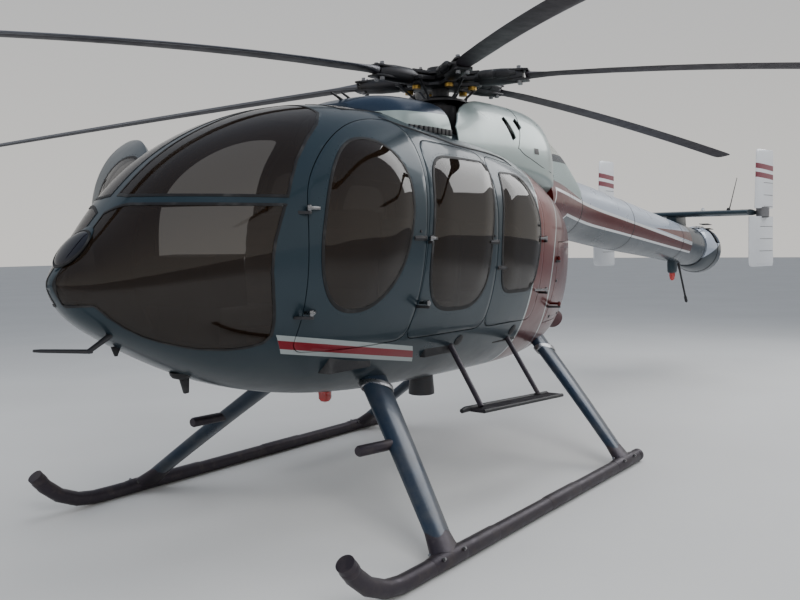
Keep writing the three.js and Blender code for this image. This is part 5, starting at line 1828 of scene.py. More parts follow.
@dataclass
class RoofCovers:
    """The front cover, the engine cover with its slots, the inlet screen and the mast housing."""

    skin: float = 0.008
    mast_hole: float = 0.262
    full: float = 2.6  # how square the engine cover is
    roof_full: float = 3.2  # and the front cover
    slots: tuple[tuple[float, float, float, float], ...] = (
        # x, height, width and length
        (-0.196, 2.400, 0.070, 0.165), (-0.348, 2.445, 0.078, 0.076))

    def sheet(self, name: str, rings: Array) -> Object:
        """Makes a thin open cover through rings."""
        obj = loft(name, rings, caps=False, closed=False)
        total = sum((p.center - Vector((p.center.x, 0.0, 2.0))).dot(p.normal) for p in obj.data.polygons)
        if total < 0:
            obj.data.flip_normals()
        return modify(obj, "SOLIDIFY", thickness=self.skin, offset=-1.0)

    def engine_cover(self) -> Object:
        """Makes the engine cover, open ahead and round the mast, with two leaning slots on each side."""
        rings = egg_rings(ENGINE_ROWS, self.full, 2.0, 70, 90, -32, 212)
        cap = drawn_in(rings[-1], (0.97, 0.90, 0.75, 0.5, 0.2), -0.02, 2.04)
        cover = self.sheet("engine_cover", np.concatenate([rings, np.array(cap)]))
        front = plate("front_cut", [(0.90, 1.9), (0.700, 2.100), (0.545, 2.290), (0.520, 2.336), (0.414, 2.436),
                                    (0.310, 2.492), (0.191, 2.535), (0.0, 2.582), (-0.06, 2.70), (0.90, 2.70)],
                      Plane.XZ, -0.9, 0.9)
        hole = drum("mast_hole", (0, 0, 2.35), (0, 0, 2.8), self.mast_hole, sides=72)
        mouth = block("mouth", (0.0, -self.mast_hole, 2.35), (0.7, self.mast_hole, 2.8))
        cutters = [front, hole, mouth]
        for x, z, wide, tall in self.slots:
            for sign in (1, -1):
                slot = block("slot", (x - wide / 2, -0.09, z - tall / 2), (x + wide / 2, 0.09, z + tall / 2), 0.012)
                turned(slot, Matrix.Translation((0, 0.44 * sign, 0)) @ about((x, 0, z), (0, 1, 0), 23))
                cutters.append(slot)
        return cut(cover, *cutters)

    def patch(self, x: float, z: float, half_x: float, half_z: float, lift: float) -> list[Object]:
        """Makes a small sheet that follows the engine cover on each side."""
        xs, zs = (np.linspace(at - half, at + half, 6) for at, half in ((x, half_x), (z, half_z)))
        grid = [[(a, egg_side(ENGINE_ROWS, self.full, a, b) + lift, b) for b in zs] for a in xs]
        return pair(loft("patch", np.array(grid), caps=False, closed=False))

    def details(self) -> list[Object]:
        """Makes the black sheets behind the slots as painted shade, the seams, the small vents and the louvres."""
        parts = []
        for x, z, wide, tall in self.slots:
            # a black sheet set inside each slot stands for the shade within the cover: painted shade
            parts += self.patch(x, z, wide * 0.9 + 0.03, tall * 0.62 + 0.01, -0.030)
        parts += self.patch(-0.552, 2.264, 0.036, 0.022, 0.0015)
        seams = [[(-0.283 - 0.56 * (z - 2.288), z) for z in np.linspace(2.590, 2.260, 14)],
                 [(-0.283, 2.262), (-0.330, 2.236), (-0.370, 2.222), (-0.476, 2.196), (-0.625, 2.156), (-0.80, 2.126),
                  (-0.92, 2.110), (-1.0, 2.104)]]
        for seam in seams:
            for sign in (1, -1):
                points = [(x, sign * (egg_side(ENGINE_ROWS, self.full, x, z) + 0.0002), z) for x, z in seam]
                parts.append(rod("seam", points, 0.0028, 6))
        for sign in (1, -1):
            for k in range(11):
                x = 1.045 - k * 0.042
                y = egg_side(ROOF_ROWS, self.roof_full, x, 2.285) * sign
                parts.append(block("louvre", (x - 0.017, y - 0.010, 2.266), (x + 0.017, y + 0.010, 2.304), 0.003))
            rail = [POD.side(x, z) for x, z in ((1.264, 2.320), (1.145, 2.277), (0.928, 2.243), (0.680, 2.204),
                                                (0.490, 2.194), (0.296, 2.187), (0.160, 2.176), (0.042, 2.160),
                                                (-0.039, 2.120))]
            parts.append(rod("rail", [(p.x, p.y * sign, p.z) for p in rail], [0.003] + [0.0075] * 7 + [0.003], 10))
        for points in (((1.190, 0.0, 2.518), (1.130, 0.0, 2.500), (1.070, 0.0, 2.478)),
                       ((1.090, 0.0, 2.530), (1.035, 0.0, 2.512), (0.990, 0.0, 2.486))):
            parts.append(rod("roof_hook", points, [0.006, 0.008, 0.011], 12))
        return parts

    def build(self) -> None:
        """Builds every cover."""
        Piece(self.engine_cover(), "fairing_paint", [COVER], ["engine_fairing"]).seat()
        rings = egg_rings(ROOF_ROWS, self.roof_full, 2.0, 40, 100, -10, 190)
        nose = drawn_in(rings[0], (0.05, 0.4, 0.75), 0.02, 2.27)
        roof = self.sheet("roof_cover", np.concatenate([np.array(nose), rings]))
        Piece(roof, "fairing_paint", [COVER], ["roof_fairing"]).seat()
        Piece(joined("cover_vents", self.details()), "dark_metal", [BLACK]).seat()
        screen = self.sheet("inlet_wire", egg_rings(SCREEN_ROWS, 2.2, 2.0, 40, 80, -30, 210))
        Piece(screen, "wire_mesh", [SCREEN_WIRE], ["inlet_screen"]).seat()
        rings = egg_rings(SCREEN_ROWS, 2.2, 2.0, 40, 60, -30, 210)
        ribs = [rod("rib", (rings[row] * np.array([1, 1.004, 1]) + np.array([0, 0, 0.002])).tolist(), 0.006, 8)
                for row in (0, -1)]
        Piece(joined("inlet_ribs", ribs), "fairing_paint", [COVER_PLAIN]).seat()
        mast = lathe("mast_cover", [(0.0, 0.0), (0.168, 0.0), (0.150, 0.12), (0.122, 0.25), (0.112, 0.36),
                                    (0.112, 0.372), (0.085, 0.375), (0.0, 0.375)], (0, 0, 2.20), (0, 0, 1))
        Piece(mast, "dark_metal", [DARK], ["mast_housing"]).seat()


# --------------------------------------------------------------------------------------------------
# Rotor
# --------------------------------------------------------------------------------------------------


@dataclass
class Rotor:
    """The six-armed hub with its plates, dampers, links and swashplate, and the six drooping blades."""

    radius: float = 4.190
    hub_z: float = 2.757
    droop: float = 0.283
    first: float = -11.3
    count: int = 6
    root: float = 0.620
    sags: Point = (2.0, 2.0, 2.0, 1.4, 1.3, 1.1)
    twist: Pair = (2.0, -5.0)
    sides: int = 32
    depth: float = 0.02184  # a blade's half thickness where `wing` gives one

    def spun(self, obj: Object, index: int) -> Object:
        """Turns a piece to one blade's place."""
        return turned(obj, Matrix.Rotation(math.radians(self.first + 360 * index / self.count), 4, "Z"))

    def blade(self, index: int) -> Object:
        """Makes one blade, pointing along X before its turn."""
        spans = [(self.root + 0.0004, 0.118, 2.6), (0.66, 0.130, 2.2), (0.70, 0.148, 1.9), (0.76, 0.160, 1.4),
                 (0.86, 0.172, 1.0), (1.2, 0.172, 1.0)] + [(r, 0.172, 1.0) for r in np.linspace(1.5, 4.05, 18)]
        spans += [(4.13, 0.168, 0.95), (4.17, 0.150, 0.8), (self.radius, 0.118, 0.5)]
        share, height = wing_section(self.sides)
        rings = []
        for r, chord, thick in spans:
            y = 0.5 * chord - share * chord
            at = (r - self.root) / (self.radius - self.root)
            slope = math.tan(math.radians(self.twist[0] + at * (self.twist[1] - self.twist[0])))
            fall = self.droop * (max(r - 0.5, 0) / 3.7) ** self.sags[index]
            z = self.hub_z - fall + height * thick * self.depth + 0.0012 + slope * y
            rings.append(np.stack([np.full(self.sides, r), y, z], axis=1))
        rings = np.roll(np.array(rings), self.sides // 2, axis=1)
        return self.spun(loft(f"blade_{index + 1}_skin", rings), index)

    def arm(self) -> list[tuple[Object, "Finish"]]:
        """Makes one arm with its pitch case, damper, bolts and link."""
        z = self.hub_z
        flex = rounded(plate("flex", [(0.10, -0.070), (0.30, -0.040), (0.40, -0.046), (0.40, 0.046), (0.30, 0.040),
                                      (0.10, 0.070)], Plane.XY, z - 0.014, z + 0.014), 0.004)
        case = rod("case", [(0.26, 0, z), (0.32, 0, z), (0.45, 0, z), (0.56, 0, z), (0.60, 0, z)],
                   [0.046, 0.066, 0.068, 0.060, 0.050], 24, 0.85)
        fork = [rounded(plate("fork", [(0.40, -0.045), (0.60, -0.062), (0.64, -0.050), (0.64, 0.050), (0.60, 0.062),
                                       (0.40, 0.045)], Plane.XY, z + a, z + b), 0.003)
                for a, b in ((0.026, 0.040), (-0.040, -0.026))]
        pins = [drum("pin", (x, y, z - 0.060), (x, y, z + 0.062), 0.017, sides=20, soft=0.003)
                for x, y in ((0.575, 0.030), (0.575, -0.030))]
        damper = lathe("damper", [(0, 0), (0.020, 0), (0.032, 0.02), (0.032, 0.10), (0.027, 0.105), (0.027, 0.125),
                                  (0.032, 0.13), (0.032, 0.20), (0.018, 0.22), (0.012, 0.26), (0, 0.26)],
                       (0.30, -0.084, z + 0.006), (1, 0, 0), 28)
        horn = rounded(plate("horn", [(0.27, 0.04), (0.31, 0.04), (0.31, 0.105), (0.27, 0.105)], Plane.XY,
                             z - 0.030, z - 0.006), 0.003)
        link = rod("link", [(0.168, 0.050, z - 0.145), (0.182, 0.055, z - 0.120), (0.270, 0.084, z - 0.038),
                            (0.290, 0.090, z - 0.010)], [0.016, 0.0085, 0.0085, 0.016], 16)
        dark = joined("arm_dark", [flex, case, *fork, horn, link])
        return [(dark, DARK), (joined("arm_pins", pins), CHROME), (damper, BLACK)]

    def build(self) -> None:
        """Builds the hub and the blades."""
        z = self.hub_z
        star = []
        for k in range(self.count * 2):
            a = math.radians(self.first + 180 * k / self.count)
            r = 0.300 if k % 2 == 0 else 0.165
            star += [polar(r, a + da * 0.3 / r, z)[:2] for da in (-0.13, 0.13)]
        plates = [rounded(plate("star", star, Plane.XY, z + a, z + b), 0.006, 3)
                  for a, b in ((0.026, 0.052), (-0.056, -0.030))]
        core = lathe("core", [(0, -0.182), (0.062, -0.182), (0.062, -0.06), (0.110, -0.055), (0.118, 0.050),
                              (0.118, 0.062), (0.098, 0.070), (0.094, 0.090), (0.060, 0.096), (0, 0.096)],
                     (0, 0, z), (0, 0, 1))
        swash = lathe("swash", [(0.063, -0.160), (0.184, -0.160), (0.184, -0.146), (0.150, -0.142), (0.128, -0.128),
                                (0.100, -0.118), (0.063, -0.116)], (0, 0, z), (0, 0, 1))
        dark = [*plates, core, swash]
        bright, black = [], []
        for k in range(self.count):
            for obj, finish in self.arm():
                self.spun(obj, k)
                {DARK: dark, CHROME: bright, BLACK: black}[finish].append(obj)
        arms = [math.radians(self.first + 60 * k) for k in range(self.count)]
        spots = [facing(polar(0.085, a, z + 0.070), UP) for a in full_turn(12)]
        spots += [facing(polar(0.225, a + d, z + 0.052), UP, 1.4)
                  for a in arms for d in (-math.radians(8), math.radians(8))]
        bright.append(stamped("hub_bolts", bolt(0.008, 0.011), spots))
        gold = [lathe("bearing", [(0.014, 0.0), (0.030, 0.0), (0.030, 0.026), (0.014, 0.026)],
                      polar(0.235, a, z - 0.081), UP, 28) for a in arms]
        Piece(joined("hub_body", dark), "dark_metal", [DARK], ["rotor_hub"], "rotor").seat()
        Piece(joined("hub_pins", bright), "bare_metal", [CHROME], body="rotor").seat()
        Piece(joined("hub_dampers", black), "step_black", [BLACK], body="rotor").seat()
        Piece(joined("hub_bearings", gold), "bare_metal", [GOLD], body="rotor").seat()
        for index in range(self.count):
            Piece(self.blade(index), "blade_paint", [BLADE_PAINT], [f"blade_{index + 1}"], "rotor").seat()


# --------------------------------------------------------------------------------------------------
# Tail
# --------------------------------------------------------------------------------------------------


@dataclass
class Tail:
    """The boom, the turning can, the tailplane and the fins."""

    tilt: float = math.atan2(1.830 - 1.595, 4.750 - 2.570)
    can_start: Triple = (-5.446, 0.0, 1.519)
    plane_z: float = 1.905
    plane_x: float = -4.780
    plane_chord: float = 0.540
    plane_depth: float = 0.070
    fin_y: float = 0.955
    fin_x: float = -5.166
    hub: float = 0.072
    turns: Pair = (-14.0, 5.0)
    section_scale: float = 0.44  # what `wing` reaches at a fin's thickest place

    def along(self, distance: float, out: float = 0.0, up: float = 0.0) -> Vector:
        """Gives a place along the can's line, and out and up from it."""
        axis = Vector((-math.cos(self.tilt), 0.0, -math.sin(self.tilt)))
        rise = Vector((-math.sin(self.tilt), 0.0, math.cos(self.tilt)))
        return Vector(self.can_start) + axis * distance + Vector((0, out, 0)) + rise * up

    def boom(self) -> None:
        """Makes the boom with its ring joints, rivets, rod and lamp."""
        rings = egg_rings(BOOM_ROWS, 2.0, 2.0, 130, 96)
        shaft = loft("boom_skin", rings)
        end = block("end_cut", (-0.5, -0.5, -0.5), (0.5, 0.5, 0.5))
        turned(end, Matrix.Translation(self.along(0.4995)) @ Matrix.Rotation(-self.tilt, 4, "Y"))
        Piece(cut(shaft, end), "boom_paint", [BOOM_PAINT], ["tail_boom"]).seat()
        rings = egg_rings(BOOM_ROWS, 2.0, 2.0, 500, 72)

        def ring_at(x: float) -> tuple[Array, Array]:
            """Gives the boom's ring nearest to x, and its middle."""
            ring = rings[int(np.argmin(np.abs(rings[:, 0, 0] - x)))]
            return ring, ring.mean(axis=0)

        joints = []
        for x in (-1.712, -3.05, -4.62):
            ring, middle = ring_at(x)
            band = [middle + (ring - middle) * size + np.array([dx, 0, dx * self.tilt])
                    for size, dx in ((1.004, -0.006), (1.004, 0.006), (0.99, 0.006), (0.99, -0.006))]
            joints.append(loft("joint", np.array(band), caps=False))
        Piece(joined("boom_joints", joints), "dark_metal", [BLACK]).seat()
        spots = []
        for x in (-1.745, -3.02, -3.08, -4.59, -4.65, -5.30):
            ring, middle = ring_at(x)
            spots += [facing(p, Vector(p - middle)) for p in ring]
        Piece(stamped("boom_rivets", rivet(0.0045, 0.0022), spots), "boom_paint", [BOOM_PAINT]).seat()
        skid = rod("tail_rod", [(-5.13, 0, 1.33), (-5.22, 0, 1.19), (-5.40, 0, 0.91), (-5.45, 0, 0.83)],
                   [0.016, 0.012, 0.012, 0.010], 16)
        shoe = rod("tail_shoe", [(-5.405, 0, 0.902), (-5.44, 0, 0.846), (-5.455, 0, 0.834)],
                   [0.017, 0.019, 0.012], 14)
        Piece(joined("tail_bumper", [skid, shoe]), "step_black", [BLACK]).seat()
        lamp = lathe("tail_lamp", [(0, 0), (0.045, 0), (0.045, 0.02), (0.034, 0.024), (0.034, 0.22), (0.028, 0.26),
                                   (0.012, 0.278), (0, 0.28)], (-4.92, 0, 1.40), (0, 0, -1), 32)
        Piece(lamp, "cover_red", [RED_LAMP]).seat()
        mount = [[(-4.92 + 0.10 * k * math.cos(a), 0.052 * k * math.sin(a), z) for a in full_turn(32)]
                 for z, k in ((1.42, 1.0), (1.30, 1.0), (1.235, 0.95), (1.215, 0.80))]
        Piece(loft("tail_lamp_mount", np.array(mount)), "boom_paint", [BODY_PLAIN]).seat()

    def can(self) -> None:
        """Makes the turning can with its air outlet, lip, vanes and control arms."""
        profile = [(0.0, 0.0), (0.2365, 0.0), (0.240, 0.004), (0.268, 0.15), (0.282, 0.23), (0.290, 0.30),
                   (0.2935, 0.37), (0.291, 0.43), (0.283, 0.468), (0.268, 0.500), (0.235, 0.520), (0.150, 0.536),
                   (0.06, 0.543), (0.0, 0.545)]
        axis = self.along(1.0) - self.along(0.0)
        shell = lathe("can_skin", profile, self.can_start, axis, 96)
        bore = lathe("bore", [(0.0, 0.02), (0.225, 0.02), (0.256, 0.15), (0.278, 0.30), (0.278, 0.41),
                              (0.25, 0.48), (0.0, 0.50)], self.can_start, axis, 64)
        window = block("window", (-5.900, 0.060, 1.560), (-5.700, 0.400, 1.860), 0.03)
        shell = rounded(cut(shell, bore, window), 0.002, 2, 50)
        Piece(shell, "body_paint", [CAN_PAINT_WITH_HIGHLIGHT], ["thruster_can"], "thruster").seat()
        vanes = [rounded(plate("vane", [(-5.88, 1.50 + 0.058 * k), (-5.72, 1.512 + 0.058 * k),
                                        (-5.72, 1.518 + 0.058 * k), (-5.88, 1.506 + 0.058 * k)], Plane.XZ, 0.06,
                               0.235 - 0.02 * abs(k - 2)), 0.001) for k in range(6)]
        Piece(joined("can_vanes", vanes), "dark_metal", [DARK], body="thruster").seat()
        ring = [hoop("seam", self.along(d), axis, r, 0.0045, 72) for d, r in ((0.006, 0.2385), (0.30, 0.2895))]
        arms = [rod("arm", [self.along(-0.10, out, 0.215), self.along(0.02, out, 0.245),
                            self.along(0.12, out, 0.235)], 0.010, 12) for out in (0.10, 0.17)]
        peg = rod("peg", [self.along(0.50, 0, 0.03), self.along(0.60, 0, 0.03)], [0.018, 0.012], 14)
        Piece(joined("can_fittings", [*ring, peg]), "dark_metal", [BLACK], body="thruster").seat()
        Piece(joined("can_levers", arms), "bare_metal", [CHROME]).seat()

    def tailplane(self) -> None:
        """Makes the tailplane with its saddle, antenna, lamp and rivets."""
        half = self.fin_y - self.hub - 0.0004
        share, height = wing_section(48)
        x, z = self.plane_x - share * self.plane_chord, self.plane_z + height * self.plane_depth
        rings = [np.stack([x, np.full(48, y), z], axis=1) for y in np.linspace(-half, half, 25)]
        plane = loft("tailplane_skin", np.array(rings))
        saddle = rounded(plate("saddle", [(-5.25, 1.74), (-4.88, 1.78), (-4.86, 1.89), (-4.92, 1.90), (-5.22, 1.90)],
                               Plane.XZ, -0.06, 0.06), 0.012, 3)
        Piece(plane, "body_paint", [BODY_PLAIN], ["tailplane"]).seat()
        Piece(saddle, "boom_paint", [BODY_PLAIN]).seat()
        whip = rod("whip", [(-4.90, 0.65, self.plane_z + 0.01), (-4.98, 0.65, 2.0), (-5.23, 0.65, 2.32)],
                   [0.010, 0.006, 0.004], 10)
        base = lathe("whip_base", [(0, 0), (0.022, 0), (0.022, 0.012), (0.012, 0.03), (0, 0.03)],
                     (-4.90, 0.65, self.plane_z + 0.028), (0, 0, 1), 20)
        Piece(joined("whip_antenna", [whip, base]), "step_black", [BLACK]).seat()
        lamp = lathe("plane_lamp", [(0, 0), (0.026, 0), (0.026, 0.045), (0.019, 0.05), (0.016, 0.066), (0, 0.074)],
                     (-5.0, 0.33, self.plane_z), (0, 0, 1), 24)
        Piece(lamp, "bare_metal", [CLEAR_LAMP]).seat()
        spots = [facing((self.plane_x - share * self.plane_chord, y, self.plane_z + self.plane_depth * wing(share)),
                        UP) for y in (-0.80, -0.55, -0.30, 0.30, 0.55, 0.80) for share in np.linspace(0.14, 0.9, 14)]
        Piece(stamped("tailplane_rivets", rivet(0.0045, 0.0022), spots), "body_paint", [BODY_PLAIN]).seat()

    def fin(self, side: str, turn: float) -> None:
        """Makes one fin with its round hub, rib lines and tip lamp.

        Args:
            side: "left" or "right".
            turn: how far it is turned about its pivot, in degrees, before mirroring.
        """
        upper = [(0.048, 0.176, -0.238, 0.021), (0.30, 0.171, -0.234, 0.018), (0.60, 0.166, -0.229, 0.0135),
                 (0.69, 0.162, -0.226, 0.012), (0.712, 0.148, -0.218, 0.009), (0.717, 0.122, -0.212, 0.006)]
        lower = [(-0.045, 0.305, -0.242, 0.023), (-0.30, 0.303, -0.250, 0.019), (-0.57, 0.300, -0.258, 0.015),
                 (-0.605, 0.275, -0.250, 0.011), (-0.618, 0.240, -0.235, 0.006)]
        share, height = wing_section(40)
        halves = []
        for rows in (upper, lower):
            rings = [np.stack([front - share * (front - rear), half * height / self.section_scale, np.full(40, z)],
                              axis=1) for z, front, rear, half in rows]
            halves.append(loft("fin_half", np.array(rings)))
        ribs = []
        spread = np.linspace(0.38, 0.97, 9)
        for z in (0.34, 0.20, 0.07, -0.16, -0.30, -0.44):
            rows = np.array(sorted(upper if z > 0 else lower))
            front, rear, half = (float(np.interp(z, rows[:, 0], rows[:, i])) for i in (1, 2, 3))
            thick = half * wing(spread) / self.section_scale
            ribs += [rod("rib", [(front - q * (front - rear), face * w, z) for q, w in zip(spread, thick)], 0.0026, 6)
                     for face in (1, -1)]
        hub = lathe("hub", [(0, -0.060), (0.058, -0.060), (0.0705, -0.050), (0.0715, 0.052), (0.060, 0.062),
                            (0, 0.062)], (0, 0, 0), (0, 0, 1), 48)
        ring = [hoop("hub_ring", (0, 0, z), (0, 0, 1), 0.069, 0.004) for z in (-0.052, 0.054)]
        lamp = drum("fin_lamp", (-0.06, 0, 0.700), (-0.06, 0, 0.7165), 0.010, 0.007, 16, 0.002)
        matrix = Matrix.Translation((self.fin_x, self.fin_y, self.plane_z))
        matrix = matrix @ Matrix.Rotation(math.radians(turn), 4, "Z")
        groups = [(joined(f"fin_{side}_skin", halves), "fin_paint", [FIN_PAINT], [f"fin_{side}"]),
                  (joined(f"fin_{side}_ribs", ribs), "dark_metal", [BLACK], []),
                  (joined(f"fin_{side}_hub", [hub]), "fin_paint", [HUB_GREY], []),
                  (joined(f"fin_{side}_fittings", [*ring, lamp]), "dark_metal", [BLACK], [])]
        for obj, slot, finishes, replaced in groups:
            turned(obj, matrix)
            if side == "right":
                flipped(obj)
            Piece(obj, slot, finishes, replaced, f"fin_{side}").seat()

    def build(self) -> None:
        """Builds the whole tail."""
        self.boom()
        self.can()
        self.tailplane()
        for side, turn in zip(("left", "right"), self.turns):
            self.fin(side, turn)


# --------------------------------------------------------------------------------------------------
# Landing gear, steps and what hangs under the belly
# --------------------------------------------------------------------------------------------------


@dataclass
class LandingGear:
    """The skids on their oval legs, and the boarding steps."""

    track: float = 1.192
    tube: float = 0.0435
    path: tuple[Pair, ...] = (
        (-0.747, 0.0435), (0.20, 0.0435), (1.20, 0.0435), (2.04, 0.0435), (2.14, 0.045), (2.25, 0.062),
        (2.37, 0.115), (2.46, 0.190), (2.517, 0.263))
    legs: tuple[tuple[Point, Point, Point, Point], ...] = (
        ((1.173, 0.203, 0.920), (1.748, 1.192, 0.050), (0.226, 0.160), (0.082, 0.066)),
        ((-0.925, 0.210, 0.915), (-0.490, 1.192, 0.050), (0.210, 0.150), (0.080, 0.064)))

    def leg(self, top: Point, foot: Point, chords: Point,
            thicks: Point) -> list[tuple[Object, str]]:
        """Makes one leg with its collar, saddle and boot.

        Args:
            top: where it starts inside the belly.
            foot: where it meets the skid.
            chords: its width at both ends.
            thicks: its thickness at both ends.

        Returns:
            Each piece with the name of its group.
        """
        a, b = Vector(top), Vector(foot)
        along = (b - a).normalized()
        wide = (Vector((1, 0, 0)) - along * along.x).normalized()
        thin = along.cross(wide)

        def ring(place: Vector, half_chord: float, half_thick: float, lean: float = 0.0) -> list[list[float]]:
            """Gives one section across the leg, fuller towards its front with `lean`."""
            return [list(place + wide * (half_chord * math.cos(q))
                         + thin * (half_thick * math.sin(q) * (1 + lean * math.cos(q)))) for q in full_turn(32)]

        def halves(t: float) -> tuple[float, ...]:
            """Gives half the width and half the thickness at a share of the leg's length."""
            return tuple((first + (last - first) * t) / 2 for first, last in (chords, thicks))

        shin = loft("shin", np.array([ring(a.lerp(b, float(t)) + UP * 0.012 * math.sin(math.pi * t), *halves(t), 0.18)
                                      for t in np.linspace(0, 1, 14)]))
        share = 0.20
        place, (chord, thick) = a.lerp(b, share), halves(share)
        collar = loft("collar", np.array([
            ring(place + along * d, chord * grow, thick * (grow + 0.12))
            for d, grow in ((-0.030, 1.16), (-0.012, 1.13), (0.004, 1.10), (0.010, 1.03), (0.002, 1.0), (-0.03, 1.0))
        ]), caps=False)
        saddle = rod("saddle", [(foot[0] + dx, self.track, 0.0465) for dx in (-0.13, -0.115, 0.115, 0.13)],
                     [0.0445, 0.0465, 0.0465, 0.0445], 36)
        chord, thick = halves(1.0)
        boot = loft("boot", np.array([ring(a.lerp(b, t), chord * grow, thick * grow)
                                      for t, grow in ((0.90, 1.04), (0.93, 1.12), (0.965, 1.22), (1.0, 1.35))]))
        return [(shin, "paint"), (collar, "bright"), (saddle, "dark"), (boot, "dark")]

    def side(self) -> dict[str, list[Object]]:
        """Makes the left side's pieces in their groups."""
        points = [(x, self.track, z) for x, z in self.path]
        tube = rod("tube", points, self.tube, 40)
        groups: dict[str, list[Object]] = {"paint": [], "bright": [], "dark": [tube]}
        for spec in self.legs:
            for obj, group in self.leg(*spec):
                groups[group].append(obj)
        groups["dark"] += [
            lathe("rear_cap", [(0, 0), (0.036, 0), (0.0445, 0.008), (0.0445, 0.05), (0.0435, 0.052)],
                  (-0.7469, self.track, 0.0440), (1, 0, 0), 36),
            lathe("toe_cap", [(0.0435, 0.0), (0.045, 0.004), (0.045, 0.03), (0.036, 0.045), (0, 0.052)],
                  (2.478, self.track, 0.214), (0.63, 0, 0.78), 36),
            rod("peg", [(1.45, 0.690, 0.500), (1.50, 0.686, 0.502), (1.775, 0.661, 0.512), (1.785, 0.660, 0.512)],
                [0.026, 0.030, 0.030, 0.024], 24)]
        for x0, x1 in ((-0.60, -0.30), (0.30, 0.70), (1.30, 1.90)):
            path = [(x, self.track, z) for x, z in ((x0, 0.045), (x0 + 0.02, 0.0455), (x1 - 0.02, 0.0455),
                                                    (x1, 0.045))]
            groups["dark"].append(rod("shoe", path, [self.tube, 0.0455, 0.0455, self.tube], 30))
        spots = [facing((foot[0] + dx, self.track + dy * 0.86, 0.0465 + 0.030), (0, dy, 0.030))
                 for _, foot, _, _ in self.legs for dx in (-0.09, 0.09) for dy in (0.046, -0.046)]
        groups["bright"].append(stamped("saddle_bolts", bolt(0.008, 0.012), spots))
        return groups

    def step(self) -> dict[str, list[Object]]:
        """Makes the left boarding step in its groups: tread, rails, grit strips, struts and collars."""
        slope = (0.602 - 0.546) / 1.03

        def top(x: float) -> float:
            """Gives the tread's height at x."""
            return 0.602 - (0.860 - x) * slope

        tread = rounded(plate("tread", [(0.86, 0.580), (0.86, 0.602), (-0.17, 0.546), (-0.17, 0.524)], Plane.XZ,
                              0.766, 0.870), 0.004)
        rails = [rod("rail", [(0.94, 0.762, 0.596), (0.90, 0.762, 0.600), (-0.15, 0.762, 0.541)],
                     [0.014, 0.018, 0.016], 20),
                 rod("rail", [(0.87, 0.872, 0.594), (-0.17, 0.872, 0.536)], 0.012, 20)]
        grit = [block("grit", (x, 0.778, top(x) - 0.003), (x + 0.052, 0.858, top(x) + 0.0035), 0.0015)
                for x in np.arange(-0.13, 0.80, 0.075)]
        struts = [rod("strut", path, [0.022, 0.020, 0.018], 24, 0.7)
                  for path in ([(0.640, 0.400, 1.080), (0.70, 0.538, 0.929), (0.825, 0.828, 0.612)],
                               [(-0.110, 0.380, 1.060), (-0.05, 0.564, 0.836), (0.018, 0.790, 0.560)])]
        collars = [turned(lathe("collar", [(0, -0.01), (0.040, -0.01), (0.040, 0.004), (0.026, 0.010), (0, 0.010)],
                                (0, 0, 0), (0, 0, 1), 28), POD.set_down(x, z))
                   for x, z in ((0.6225, 0.976), (-0.080, 0.980))]
        return {"grip": [tread, *grit], "black": [*rails, *collars], "dark": struts}

    def build(self) -> None:
        """Builds both sides."""
        looks = {"paint": ("gear_paint", GEAR), "bright": ("bare_metal", CHROME), "dark": ("gear_paint", SKID),
                 "grip": ("step_black", GRIP), "black": ("step_black", BLACK)}
        for kind, make, node in (("gear", self.side, "landing_gear_{}"), ("step", self.step, "boarding_step_{}")):
            for group, parts in make().items():
                slot, finish = looks[group]
                stands = node if group in ("paint", "grip") else ""
                seat_sides(joined(f"{kind}_{group}", parts), slot, [finish], stands)


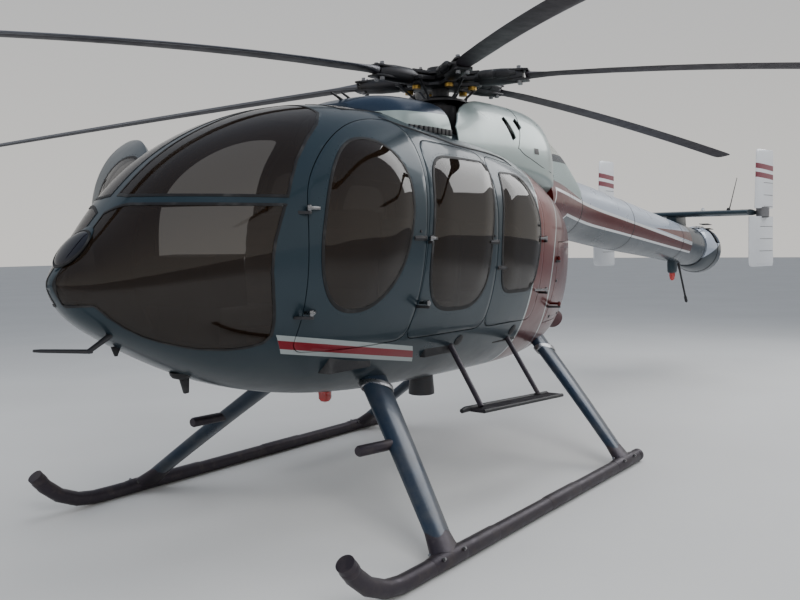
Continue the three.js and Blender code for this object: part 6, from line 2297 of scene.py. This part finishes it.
@dataclass
class Underside:
    """The pitot tube, antennas, lamp and drain can under the belly, and the door hinges' fixed halves."""

    def build(self) -> None:
        """Builds each fitting."""
        pitot = [rod("mast", [(2.85, 0.095, 1.19), (2.93, 0.098, 1.148), (2.97, 0.100, 1.128)],
                     [0.014, 0.012, 0.011], 16),
                 rod("tube", [(2.95, 0.1, 1.1285), (2.975, 0.1, 1.1305), (3.19, 0.1, 1.156), (3.225, 0.1, 1.160)],
                     [0.010, 0.010, 0.008, 0.006], 16)]
        Piece(joined("pitot_tube", pitot), "bare_metal", [DARK]).seat()
        blade = rounded(plate("blade", [(2.403, 0.95), (2.334, 0.95), (2.340, 0.842), (2.368, 0.840)], Plane.XZ,
                              -0.009, 0.009), 0.005)
        fin = rounded(plate("belly_fin", [(2.785, 1.125), (2.730, 1.125), (2.752, 1.078), (2.766, 1.078)], Plane.XZ,
                            -0.005, 0.005), 0.002)
        dome = lathe("dome", [(0, 0), (0.062, 0), (0.060, 0.012), (0.048, 0.028), (0.024, 0.036), (0, 0.038)],
                     (2.38, 0, 0.955), (0, 0, -1), 36)
        Piece(joined("belly_antenna", [blade, fin, dome]), "step_black", [BLACK]).seat()
        lamp = lathe("belly_lamp", [(0, 0), (0.046, 0), (0.046, 0.03), (0.042, 0.034), (0.040, 0.075), (0.028, 0.092),
                                    (0, 0.102)], (1.30, 0, 0.730), (0, 0, -1), 40)
        Piece(lamp, "cover_red", [RED_LAMP]).seat()
        can = lathe("drain_can", [(0, 0), (0.082, 0), (0.082, 0.02), (0.086, 0.08), (0.092, 0.15), (0.092, 0.166),
                                  (0.084, 0.170), (0.080, 0.150), (0, 0.148)], (0.28, 0, 0.700), (0, 0, -1), 48)
        Piece(can, "bare_metal", [DARK]).seat()
        lugs = joined("hinge_lugs", [Hinges(key).build("fixed") for key in ("front", "mid", "aft", "engine")])
        seat_sides(lugs, "bare_metal", [DARK])


def main() -> None:
    """Builds every sub-assembly in order."""
    logging.basicConfig(level=logging.INFO, format="%(message)s")
    Studio().build()
    shell = CabinShell()
    shell.build()
    for key, handle in (("front", (1.262, 1.621)), ("mid", (0.455, 1.596)), ("aft", (0.335, 1.430))):
        SideDoor(key, handle).build()
    EngineDoors(shell).build()
    Seats().build()
    Controls().build()
    EngineBay().build()
    RoofCovers().build()
    Rotor().build()
    Tail().build()
    LandingGear().build()
    Underside().build()


if __name__ == "__main__":
    main()
